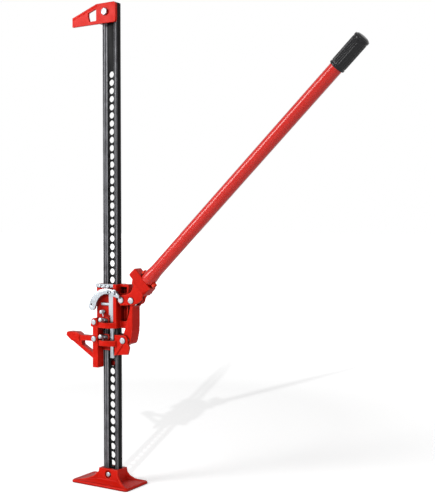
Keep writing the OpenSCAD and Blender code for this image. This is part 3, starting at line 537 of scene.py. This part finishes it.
def turned(name: str, profile: list[tuple[float, float]], sides: int, place: Matrix, flutes: int = 0,
           flute_depth: float = 0.0, fluted: tuple[float, float] = (0.0, 0.0)) -> bpy.types.Object:
    """Turns a profile round an axis, as a lathe or a round mould does.

    Args:
        name: the name of the new piece.
        profile: radius and distance along the axis, in millimetres, as a closed loop.
        sides: the facets round the axis.
        place: where the axis lies, in metres.
        flutes: the number of lengthwise grooves.
        flute_depth: the depth of a groove, in millimetres.
        fluted: where the grooves start and end along the axis.

    Returns:
        The turned piece.
    """
    work = bmesh.new()
    rings = []
    for radius, along in profile:
        inside = fluted[0] <= along <= fluted[1] and flutes > 0
        ring = []
        for k in range(sides):
            angle = math.tau * k / sides
            wave = 0.5 - 0.5 * math.cos(flutes * angle)
            reach = radius - (flute_depth * wave ** FLUTE_FORM if inside else 0.0)
            ring.append(work.verts.new((reach * math.cos(angle) * MM, reach * math.sin(angle) * MM,
                                        along * MM)))
        rings.append(ring)
    for first, second in zip(rings, rings[1:] + rings[:1]):
        for k in range(sides):
            n = (k + 1) % sides
            work.faces.new((first[k], first[n], second[n], second[k]))
    bmesh.ops.remove_doubles(work, verts=work.verts, dist=FINE_WELD)
    bmesh.ops.recalc_face_normals(work, faces=work.faces)
    bmesh.ops.transform(work, matrix=place, verts=work.verts)
    piece = new_piece(name, work)
    smooth_by_angle(piece.data, Crease.TURNED)
    return piece


def bowed(first: tuple[float, float], second: tuple[float, float], steps: int) -> list[tuple[float, float]]:
    """Gives an S-shaped change of radius between two places of a profile.

    Args:
        first: the radius and the place where it starts.
        second: the radius and the place where it ends.
        steps: the number of steps between them.

    Returns:
        The points of the profile, with both ends.
    """
    points = []
    for i in range(steps + 1):
        share = i / steps
        ease = share * share * (3 - 2 * share)
        points.append((first[0] + (second[0] - first[0]) * ease, first[1] + (second[1] - first[1]) * share))
    return points


@dataclass
class Assembly:
    """What the sub-assemblies share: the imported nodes, the finishes and ways to put a piece in place."""

    nodes: dict[str, bpy.types.Object]
    palette: Palette

    def stand_for(self, piece: bpy.types.Object, node: str, body: str, finish: Finish, slot: str,
                  edge: Finish | None = None) -> None:
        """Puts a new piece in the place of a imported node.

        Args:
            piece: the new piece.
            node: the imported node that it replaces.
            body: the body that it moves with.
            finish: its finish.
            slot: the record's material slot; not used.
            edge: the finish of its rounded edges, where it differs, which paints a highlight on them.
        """
        piece.data.materials.append(self.palette.get(finish))
        if edge is not None:
            piece.data.materials.append(self.palette.get(edge))
        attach(piece, body)
        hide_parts(node)
        LOG.info("%s stands for %s, %d faces", piece.name, node, len(piece.data.polygons))

    def cast(self, node: str, body: str, voxel_mm: float, soften: int,
             extras: list[bpy.types.Object] | None = None) -> None:
        """Puts an enamelled casting, joined by any extra pieces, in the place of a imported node."""
        piece = cast_copy(self.nodes[node], node + "_casting", voxel_mm, soften, extras or [])
        self.stand_for(piece, node, body, CAST_ENAMEL, "red_paint")

    def ease(self, edges: dict[str, Rounding], body: str, finish: Finish, slot: str) -> None:
        """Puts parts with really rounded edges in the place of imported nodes.

        Args:
            edges: the rounding of each node's edges.
            body: the body that they move with.
            finish: their finish.
            slot: the record's material slot.
        """
        for node, edge in edges.items():
            piece = eased_copy(self.nodes[node], node + "_eased", edge.value)
            self.stand_for(piece, node, body, finish, slot)


@dataclass
class Standard(Assembly):
    """The perforated standard with the base under it and the claw on top, with sizes in millimetres.

    Attributes:
        bar_edge: how far the roundings of the standard's edges reach.
        bar_facets: the facets across such a rounding.
        hole_reach: the reach on each side of the middle in which roundings are the holes' and get no painted
            highlight.
        base_size: the length and width of the base.
        base_shift: how far the base lies off the standard's middle.
        base_rim: the height of the base's rim.
        base_skin, base_soften: the grain of the base's skin and its rounds of smoothing.
        bead: the radius of the bead on the rim.
        bead_sides: the facets round the bead.
        bead_set, bead_sunk: how far the bead lies in from the rim and under its top.
        corner: the radius of the bead's corners.
        corner_step: the angle between two points of a corner, in degrees.
        claw_reach, claw_shoulder: where the claw's slope starts and ends, left of the middle.
        claw_low, claw_tip, claw_top: the foot, the height of the blunt tip and the top of the claw.
        claw_front: the depth of the claw's front face.
        claw_skin, claw_soften: the grain of the claw's skin and its rounds of smoothing.
        border, border_proud, border_root: the width, the rise and the hold of the claw's border.
        border_start: how far the border starts in from the tip and under the slope.
        border_inset: how far the border lies in from the slope.
        notches, notch_out, notch_in: the number of the border's notches and how they swing its width.
    """

    bar_edge: float = 1.7
    bar_facets: int = 3
    hole_reach: float = 12.0
    base_size: tuple[float, float] = (180.0, 94.0)
    base_shift: float = 11.0
    base_rim: float = 6.5
    base_skin: float = 1.1
    base_soften: int = 4
    bead: float = 1.5
    bead_sides: int = 8
    bead_set: float = 3.4
    bead_sunk: float = 0.4
    corner: float = 7.0
    corner_step: int = 15
    claw_reach: float = 117.0
    claw_shoulder: float = 36.0
    claw_low: float = 1186.0
    claw_tip: float = 25.0
    claw_top: float = 1239.0
    claw_front: float = -19.0
    claw_skin: float = 0.9
    claw_soften: int = 3
    border: float = 5.0
    border_proud: float = 1.2
    border_root: float = 2.0
    border_start: tuple[float, float] = (0.5, 0.8)
    border_inset: float = 0.6
    notches: int = 13
    notch_out: float = 0.9
    notch_in: float = 0.5

    def rim_bead(self) -> bpy.types.Object:
        """Makes the low bead that runs round the rim of the base.

        Returns:
            The closed bead.
        """
        half_l, half_w = self.base_size[0] / 2 - self.bead_set, self.base_size[1] / 2 - self.bead_set
        path = []
        for turn, (sx, sy) in enumerate(((1, 1), (-1, 1), (-1, -1), (1, -1))):
            cx, cy = sx * (half_l - self.corner) - self.base_shift, sy * (half_w - self.corner)
            for degrees in range(90 * turn, 90 * turn + 91, self.corner_step):
                angle = math.radians(degrees)
                path.append(Vector((cx + self.corner * math.cos(angle), cy + self.corner * math.sin(angle),
                                    self.base_rim - self.bead_sunk)))
        return tube("joined", path, self.bead, self.bead_sides, closed=True)

    def claw_border(self) -> bpy.types.Object:
        """Makes the raised, notched border along the sloping edge of the claw.

        Returns:
            The closed border.
        """
        run = self.claw_reach - self.claw_shoulder
        rise = self.claw_top - self.claw_low - self.claw_tip
        start = Vector((-self.claw_reach + self.border_start[0],
                        self.claw_low + self.claw_tip - self.border_start[1]))
        way = Vector((run, rise)).normalized()
        down = Vector((way.y, -way.x))
        length = math.hypot(run, rise)
        line = [start + down * self.border_inset, start + way * length + down * self.border_inset]
        steps = self.notches * 2
        for i in range(steps + 1):
            along = length * (1 - i / steps)
            depth = self.border + (self.notch_out if i % 2 else -self.notch_in)
            line.append(start + way * along + down * depth)
        return prism([(p.x, p.y) for p in line], self.claw_front - self.border_proud,
                     self.claw_front + self.border_root)

    def build(self) -> None:
        """Builds and dresses the standard, the base, the claw and their fasteners."""
        # The standard's roundings get the finish with the painted highlight, save those round its holes,
        # which keep the plain coat.
        bar = eased_copy(self.nodes["standard_bar"], "standard_bar_rolled", self.bar_edge, self.bar_facets,
                         edge_slot=1)
        for face in bar.data.polygons:
            if abs(face.center.x) < self.hole_reach * MM:
                face.material_index = 0
        self.stand_for(bar, "standard_bar", "standard", POWDER_COAT, "black_paint", POWDER_HIGHLIGHT)
        self.cast("base_plate", "standard", self.base_skin, self.base_soften, [self.rim_bead()])
        self.cast("top_claw", "standard", self.claw_skin, self.claw_soften, [self.claw_border()])
        self.ease({"base_pin": Rounding.FINE, "base_pin_clip": Rounding.CLIP, "claw_bolt": Rounding.BOLT,
                   "claw_nut": Rounding.PLAIN}, "standard", ZINC_PLATE, "zinc")


@dataclass
class Runners(Assembly):
    """The large and the small runner with their rollers.

    Attributes:
        skin: the grain of their skin, in millimetres.
        soften: the rounds of smoothing.
    """

    skin: float = 1.0
    soften: int = 4

    def build(self) -> None:
        """Builds and dresses both runners, the rollers and the roller pins."""
        self.cast("small_runner", "lower_carriage", self.skin, self.soften)
        self.cast("large_runner", "upper_carriage", self.skin, self.soften)
        self.ease({"upper_roller": Rounding.PLAIN}, "top_roller", OILED_STEEL, "bare_steel")
        self.ease({"lower_roller": Rounding.PLAIN}, "bottom_roller", OILED_STEEL, "bare_steel")
        self.ease({"roller_pins": Rounding.FINE, "roller_pin_clips": Rounding.CLIP}, "upper_carriage",
                  ZINC_PLATE, "zinc")


@dataclass
class ClimbingPins(Assembly):
    """The two sloping pins with their cross pins, springs and spring screws, with sizes in millimetres.

    Attributes:
        lower_screw, upper_screw: the heights of the spring screws.
        wall_y: the depth of the wall that the springs lie on.
        spring_x: how far the coils lie from the middle.
        pin_r: the radius of a climbing pin.
        wire: the thickness of the spring wire.
        wire_sides: the facets round the wire.
        coil: the radius of a coil's middle line.
        turns: the turns of a coil.
        step: the angle between two points of a coil, in degrees.
        lead, stand_off: the pitch of the coil and its distance from the wall, in wires.
        tail: how far the first leg hangs down, in wires.
        bend: the places of the second leg past the coil, in coils across and in wires in depth and down.
        leg_end: where that leg ends, in wires beside the pin, in depth and down.
    """

    lower_screw: float = 376.5
    upper_screw: float = 440.1
    wall_y: float = -17.0
    spring_x: float = -14.0
    pin_r: float = 5.5
    wire: float = 2.0
    wire_sides: int = 10
    coil: float = 3.8
    turns: float = 3.5
    step: int = 15
    lead: float = 1.3
    stand_off: float = 0.7
    tail: float = 4.0
    bend: tuple[tuple[float, float, float], ...] = ((1.0, 0.0, 1.0), (1.05, 0.1, 2.0))
    leg_end: tuple[float, float, float] = (0.8, 0.7, 6.0)

    def spring_path(self, height: float) -> list[Vector]:
        """Gives the middle line of a pin spring: a leg, its curls, and a leg beside the pin.

        Args:
            height: the height of its screw.

        Returns:
            The points, in millimetres.
        """
        lead = self.wire * self.lead
        wall = self.wall_y - self.wire * self.stand_off
        far = wall - lead * self.turns
        path = [Vector((self.spring_x - self.coil, wall, height - self.wire * self.tail))]
        for degrees in range(0, int(360 * self.turns) + 1, self.step):
            turn = math.radians(degrees)
            path.append(Vector((self.spring_x - self.coil * math.cos(turn), wall - lead * degrees / 360,
                                height + self.coil * math.sin(turn))))
        for across, deep, down in self.bend:
            path.append(Vector((self.spring_x + self.coil * across, far - self.wire * deep,
                                height - self.wire * down)))
        beside, deep, down = self.leg_end
        path.append(Vector((-self.pin_r - self.wire * beside, far - self.wire * deep,
                            height - self.wire * down)))
        return path

    def spring(self, node: str, height: float, body: str) -> None:
        """Puts a spring of real wire, curled round the screw at a height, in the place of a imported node."""
        piece = tube(node + "_wire", self.spring_path(height), self.wire / 2, self.wire_sides)
        self.stand_for(piece, node, body, ZINC_PLATE, "zinc")

    def build(self) -> None:
        """Builds and dresses the pins and the springs."""
        self.ease({"lower_climbing_pin": Rounding.PLAIN}, "lower_pin", OILED_STEEL, "bare_steel")
        self.ease({"lower_cross_pin": Rounding.FINE}, "lower_pin", ZINC_PLATE, "zinc")
        self.ease({"upper_climbing_pin": Rounding.PLAIN}, "upper_pin", OILED_STEEL, "bare_steel")
        self.ease({"upper_cross_pin": Rounding.FINE}, "upper_pin", ZINC_PLATE, "zinc")
        self.spring("lower_pin_spring", self.lower_screw, "lower_carriage")
        self.spring("upper_pin_spring", self.upper_screw, "upper_carriage")
        self.ease({"lower_spring_screw": Rounding.FINE}, "lower_carriage", ZINC_PLATE, "zinc")
        self.ease({"upper_spring_screw": Rounding.FINE}, "upper_carriage", ZINC_PLATE, "zinc")


@dataclass
class ReversingGear(Assembly):
    """The latch, its pivot, the plate over it and the bar that it lifts."""

    def build(self) -> None:
        """Builds and dresses the reversing gear."""
        self.ease({"reversing_latch": Rounding.LATCH}, "latch", ZINC_PLATE, "zinc")
        self.ease({"reversing_bar": Rounding.BAR}, "reverser", ZINC_PLATE, "zinc")
        self.ease({"latch_plate": Rounding.FINE, "latch_plate_screws": Rounding.SCREW,
                   "latch_pivot_pin": Rounding.PLAIN}, "upper_carriage", ZINC_PLATE, "zinc")


@dataclass
class Linkage(Assembly):
    """The pitman between the socket and the small runner, and the pins of the linkage.

    Attributes:
        skin: the grain of the pitman's skin, in millimetres.
        soften: the rounds of smoothing.
    """

    skin: float = 0.9
    soften: int = 4

    def build(self) -> None:
        """Builds and dresses the pitman and the pins."""
        self.cast("pitman", "link", self.skin, self.soften)
        for pin, body in (("lower_pitman", "lower_carriage"), ("handle_pivot", "upper_carriage"),
                          ("upper_pitman", "handle")):
            self.ease({pin + "_pin": Rounding.PLAIN, pin + "_clip": Rounding.CLIP}, body, ZINC_PLATE, "zinc")


@dataclass
class Handle(Assembly):
    """The cast socket, the flared pipe and the moulded grip, with sizes in millimetres.

    Attributes:
        pivot: where the handle turns.
        angle: the slope of the handle, in degrees.
        drop: how far its axis lies under the pivot.
        root, length: where the pipe starts along the axis and how far the grip's end is from there.
        pipe_r, pipe_wall, pipe_sides: the radius, wall and facets of the pipe.
        pipe_rings, ring_step: the number of rings along the plain pipe and the distance between them.
        flare_r, flare_l, flare_start, flare_steps: the radius, end, start and steps of the flare.
        root_bevel, bevel_in: how long the rounding of the pipe's root is, and its depth as a share of that.
        bevel_step, bevel_steps: the angle between its points, in degrees, and their number.
        socket_skin, socket_soften: the grain of the socket's skin and its rounds of smoothing.
        grip_l, grip_r, grip_end, grip_sides: the length, radius, closed end and facets of the grip.
        grip_gap: how far the grip's bore clears the pipe.
        neck: the bead at the grip's mouth, as steps under the grip's radius and from its mouth.
        waist: how far the fluted part lies under the radius.
        fluted: how far the flutes start from the mouth and end from the closed end.
        flute_rings: the rings of the fluted part.
        flutes, flute_depth: the number and depth of the flutes.
        dome: the bead and the dome at the closed end, as steps under the radius and from that end.
    """

    pivot: tuple[float, float, float] = (45.6, 0.0, 472.1)
    angle: float = 43.1
    drop: float = 9.1
    root: float = 82.0
    length: float = 811.0
    pipe_r: float = 16.5
    pipe_wall: float = 2.8
    pipe_sides: int = 64
    pipe_rings: int = 5
    ring_step: float = 120.0
    flare_r: float = 19.25
    flare_l: float = 44.0
    flare_start: float = 10.0
    flare_steps: int = 18
    root_bevel: float = 6.0
    bevel_in: float = 0.7
    bevel_step: int = 15
    bevel_steps: int = 6
    socket_skin: float = 1.1
    socket_soften: int = 12
    grip_l: float = 91.0
    grip_r: float = 19.75
    grip_end: float = 8.0
    grip_sides: int = 132
    grip_gap: float = 0.05
    neck: tuple[tuple[float, float], ...] = ((1.6, 0.0), (0.5, 0.5), (0.0, 1.6), (0.0, 4.2), (0.4, 5.2),
                                             (1.2, 5.8), (1.2, 7.4))
    waist: float = 0.35
    fluted: tuple[float, float] = (9.0, 14.0)
    flute_rings: int = 14
    flutes: int = 22
    flute_depth: float = 1.1
    dome: tuple[tuple[float, float], ...] = ((1.2, 12.6), (1.2, 11.4), (0.3, 10.8), (0.0, 9.6), (0.0, 5.4),
                                             (0.5, 4.2), (2.2, 3.4), (3.0, 3.0), (3.6, 2.2), (6.0, 1.1),
                                             (10.0, 0.4))

    def axis(self) -> Matrix:
        """Gives the place of the handle's axis, from abreast of the pivot.

        Returns:
            The transform from the axis to the frame.
        """
        return (Matrix.Translation(Vector(self.pivot) * MM)
                @ Matrix.Rotation(math.radians(90 - self.angle), 4, "Y")
                @ Matrix.Translation(Vector((self.drop * MM, 0.0, 0.0))))

    def pipe(self) -> bpy.types.Object:
        """Builds the pipe, swaged out to its root in one smooth sweep.

        Returns:
            The pipe.
        """
        end = self.root + self.length - self.grip_end
        inner = self.pipe_r - self.pipe_wall
        deep = self.root_bevel * self.bevel_in
        flare_end = self.root + self.flare_l
        profile = [(inner, self.root), (self.flare_r - deep, self.root)]
        for i in range(1, self.bevel_steps + 1):
            turn = math.radians(self.bevel_step * i)
            profile.append((self.flare_r - deep * (1 - math.sin(turn)),
                            self.root + self.root_bevel * (1 - math.cos(turn))))
        profile += bowed((self.flare_r, self.root + self.flare_start), (self.pipe_r, flare_end),
                         self.flare_steps)
        profile += [(self.pipe_r, flare_end + self.ring_step * i) for i in range(1, self.pipe_rings + 1)]
        profile += [(self.pipe_r, end), (inner, end)]
        return turned("handle_pipe_drawn", profile, self.pipe_sides, self.axis())

    def grip(self) -> bpy.types.Object:
        """Builds the moulded grip, with a bead at each end, flutes between them and a domed end.

        Returns:
            The grip.
        """
        end = self.root + self.length
        start = end - self.grip_l
        inner = self.pipe_r + self.grip_gap
        bottom = end - self.grip_end + self.grip_gap
        first, last = start + self.fluted[0], end - self.fluted[1]
        profile = [(inner, start)]
        profile += [(self.grip_r - under, start + along) for under, along in self.neck]
        profile += [(self.grip_r - self.waist, first + (last - first) * i / self.flute_rings)
                    for i in range(self.flute_rings + 1)]
        profile += [(self.grip_r - under, end - along) for under, along in self.dome]
        profile += [(0.0, end), (0.0, bottom), (inner, bottom)]
        return turned("handle_grip_moulded", profile, self.grip_sides, self.axis(), self.flutes,
                      self.flute_depth, (first, last))

    def build(self) -> None:
        """Builds and dresses the handle."""
        self.cast("handle_socket", "handle", self.socket_skin, self.socket_soften)
        self.stand_for(self.pipe(), "handle_pipe", "handle", TUBE_ENAMEL, "red_paint")
        self.stand_for(self.grip(), "handle_grip", "handle", MOULDED_RUBBER, "grip_rubber")
        self.ease({"socket_bolt": Rounding.PLAIN, "socket_nut": Rounding.PLAIN}, "handle", CAST_ENAMEL,
                  "red_paint")


@dataclass(frozen=True)
class Lamp:
    """A soft lamp that looks at the middle of the jack.

    Attributes:
        name: its name.
        place: its place in metres.
        size: its width and height in metres.
        watts: its power.
        lean: how far its top leans over to the handle's side, in degrees.
    """

    name: str
    place: tuple[float, float, float]
    size: tuple[float, float]
    watts: float
    lean: float = 0.0

    def build(self, aim: Vector) -> None:
        """Adds the lamp to the scene.

        Args:
            aim: the point that it looks at, in metres.
        """
        data = bpy.data.lights.new(self.name, "AREA")
        data.energy = self.watts
        data.shape = "RECTANGLE"
        data.size, data.size_y = self.size
        lamp = bpy.data.objects.new(self.name, data)
        bpy.context.scene.collection.objects.link(lamp)
        place = Vector(self.place)
        lamp.matrix_world = (Matrix.Translation(place)
                             @ (aim - place).to_track_quat("-Z", "Y").to_matrix().to_4x4()
                             @ Matrix.Rotation(math.radians(-self.lean), 4, "Z"))


@dataclass
class Studio:
    """The pale floor, the soft lamps and the camera at the photograph's viewing angle.

    Attributes:
        yaw, pitch, roll: the camera's angles.
        place_mm: its place in millimetres.
        focal_px, centre_px, frame_px: its focal length, its centre and the size of its frame, in pixels.
        sensor_mm: the width of its sensor.
        far: how far it sees, in metres.
        lamps: the soft lamps.
        aim: the point that they look at, in metres.
        sun_way: the direction that the sun's light travels.
        sun_strength, sun_width: its strength and its width in degrees.
        room_light: how bright the even light of the room is.
        floor_half, floor_cells: half the floor's size in metres and its cells on a side.
        floor_share: the share of light that the floor gives back.
        floor_glow: how much it glows to the eye where the shadow falls.
        shadow_place: the middle of that region, in metres.
        shadow_fade: the distances from it where the shadow starts to fade and where it is gone.
    """

    yaw: float = math.radians(32.01)
    pitch: float = math.radians(-1.697)
    roll: float = math.radians(-0.399)
    place_mm: tuple[float, float, float] = (1495.3, -1877.1, 680.3)
    focal_px: float = 920.8
    centre_px: tuple[float, float] = (217.5, 190.0)
    frame_px: tuple[int, int] = (435, 495)
    sensor_mm: float = 36.0
    far: float = 100.0
    lamps: tuple[Lamp, ...] = (Lamp("key", (-1.56, -2.06, 1.62), (0.95, 1.5), watts=56.0, lean=35.0),
                               Lamp("fill", (2.8, -1.0, 1.6), (1.2, 1.2), watts=3.0),
                               Lamp("back", (-0.8, 2.4, 2.4), (1.4, 1.4), watts=8.0))
    aim: tuple[float, float, float] = (0.1, 0.0, 0.6)
    sun_way: tuple[float, float, float] = (-0.882, 2.123, -1.080)
    sun_strength: float = 1.0
    sun_width: float = 1.0
    room_light: float = 0.2
    floor_half: float = 30.0
    floor_cells: int = 8
    floor_share: float = 0.9
    floor_glow: float = 0.45
    shadow_place: tuple[float, float, float] = (-0.4, 0.6, 0.0)
    shadow_fade: tuple[float, float] = (0.7, 2.7)

    def camera(self) -> None:
        """Creates the camera."""
        cos_e, sin_e = math.cos(self.pitch), math.sin(self.pitch)
        ahead = Vector((-math.sin(self.yaw) * cos_e, math.cos(self.yaw) * cos_e, -sin_e))
        right = Vector((math.cos(self.yaw), math.sin(self.yaw), 0.0))
        up = right.cross(ahead)
        cos_r, sin_r = math.cos(self.roll), math.sin(self.roll)
        right, up = cos_r * right + sin_r * up, cos_r * up - sin_r * right
        data = bpy.data.cameras.new("view")
        camera = bpy.data.objects.new("view", data)
        bpy.context.scene.collection.objects.link(camera)
        turn = Matrix((right, up, -ahead)).transposed().to_4x4()
        camera.matrix_world = Matrix.Translation(Vector(self.place_mm) * MM) @ turn
        tall = max(self.frame_px)
        data.sensor_width = self.sensor_mm
        data.sensor_fit = "AUTO"
        data.lens = self.focal_px * self.sensor_mm / tall
        data.shift_x = (self.frame_px[0] / 2 - self.centre_px[0]) / tall
        data.shift_y = (self.centre_px[1] - self.frame_px[1] / 2) / tall
        data.dof.use_dof = False
        data.clip_end = self.far
        bpy.context.scene.camera = camera

    def sun(self) -> None:
        """Adds the distant lamp that throws the long faint shadow."""
        data = bpy.data.lights.new("sun", "SUN")
        data.energy = self.sun_strength
        data.angle = math.radians(self.sun_width)
        lamp = bpy.data.objects.new("sun", data)
        bpy.context.scene.collection.objects.link(lamp)
        lamp.matrix_world = Vector(self.sun_way).to_track_quat("-Z", "Y").to_matrix().to_4x4()

    @staticmethod
    def shown_rays(tree: bpy.types.NodeTree) -> bpy.types.NodeSocket:
        """Tells the rays that show the room from those that light the jack.

        Args:
            tree: the node tree of the floor or the world.

        Returns:
            A socket that is 1 for a ray from the eye, straight or by way of metal or glass, and else 0.
        """
        path = add_node(tree, "ShaderNodeLightPath")
        seen = add_node(tree, "ShaderNodeMath", {"operation": "MAXIMUM"},
                        {0: path.outputs["Is Camera Ray"], 1: path.outputs["Is Glossy Ray"]})
        also = add_node(tree, "ShaderNodeMath", {"operation": "MAXIMUM"},
                        {0: seen.outputs[0], 1: path.outputs["Is Transmission Ray"]})
        return also.outputs[0]

    def floor(self) -> None:
        """Lays the pale floor, which shows white to the eye and keeps a faint shadow."""
        work = bmesh.new()
        bmesh.ops.create_grid(work, x_segments=self.floor_cells, y_segments=self.floor_cells,
                              size=self.floor_half)
        floor = new_piece("floor", work)
        material = bpy.data.materials.new("pale_floor")
        material.use_nodes = True
        tree = material.node_tree
        tree.nodes.clear()
        skin = add_node(tree, "ShaderNodeBsdfDiffuse", {"Color": (self.floor_share,) * 3 + (1.0,)})
        place = add_node(tree, "ShaderNodeTexCoord")
        reach = add_node(tree, "ShaderNodeVectorMath", {"operation": "DISTANCE", 1: self.shadow_place},
                         {0: place.outputs["Object"]})
        fade = add_node(tree, "ShaderNodeMapRange",
                        {"From Min": self.shadow_fade[0], "From Max": self.shadow_fade[1],
                         "To Min": self.floor_glow, "To Max": 1.0}, {"Value": reach.outputs["Value"]})
        glow = add_node(tree, "ShaderNodeEmission", {"Color": WHITE}, {"Strength": fade.outputs[0]})
        both = add_node(tree, "ShaderNodeAddShader", None, {0: skin.outputs[0], 1: glow.outputs[0]})
        plain = add_node(tree, "ShaderNodeBsdfDiffuse", {"Color": linear(Tone.FLOOR)})
        mix = add_node(tree, "ShaderNodeMixShader", None,
                       {0: self.shown_rays(tree), 1: plain.outputs[0], 2: both.outputs[0]})
        add_node(tree, "ShaderNodeOutputMaterial", None, {"Surface": mix.outputs[0]})
        floor.data.materials.append(material)

    def world(self) -> None:
        """Lights the room evenly, and shows white to the eye and to shiny metal."""
        world = bpy.data.worlds.new("room")
        bpy.context.scene.world = world
        world.use_nodes = True
        tree = world.node_tree
        tree.nodes.clear()
        soft = add_node(tree, "ShaderNodeBackground", {"Color": WHITE, "Strength": self.room_light})
        white = add_node(tree, "ShaderNodeBackground", {"Color": WHITE, "Strength": 1.0})
        mix = add_node(tree, "ShaderNodeMixShader", None,
                       {0: self.shown_rays(tree), 1: soft.outputs[0], 2: white.outputs[0]})
        add_node(tree, "ShaderNodeOutputWorld", None, {"Surface": mix.outputs[0]})

    def build(self) -> None:
        """Sets up the whole studio."""
        self.camera()
        self.floor()
        self.world()
        for lamp in self.lamps:
            lamp.build(Vector(self.aim))
        self.sun()
        bpy.context.scene.view_settings.view_transform = "Standard"


def main() -> None:
    """Loads the frame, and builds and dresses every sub-assembly."""
    logging.basicConfig(level=logging.INFO, format="%(name)s: %(message)s")
    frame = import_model()
    nodes = frame["nodes"]
    palette = Palette()
    Studio().build()
    for assembly in (Standard, Runners, ClimbingPins, ReversingGear, Linkage, Handle):
        assembly(nodes, palette).build()


if __name__ == "__main__":
    main()
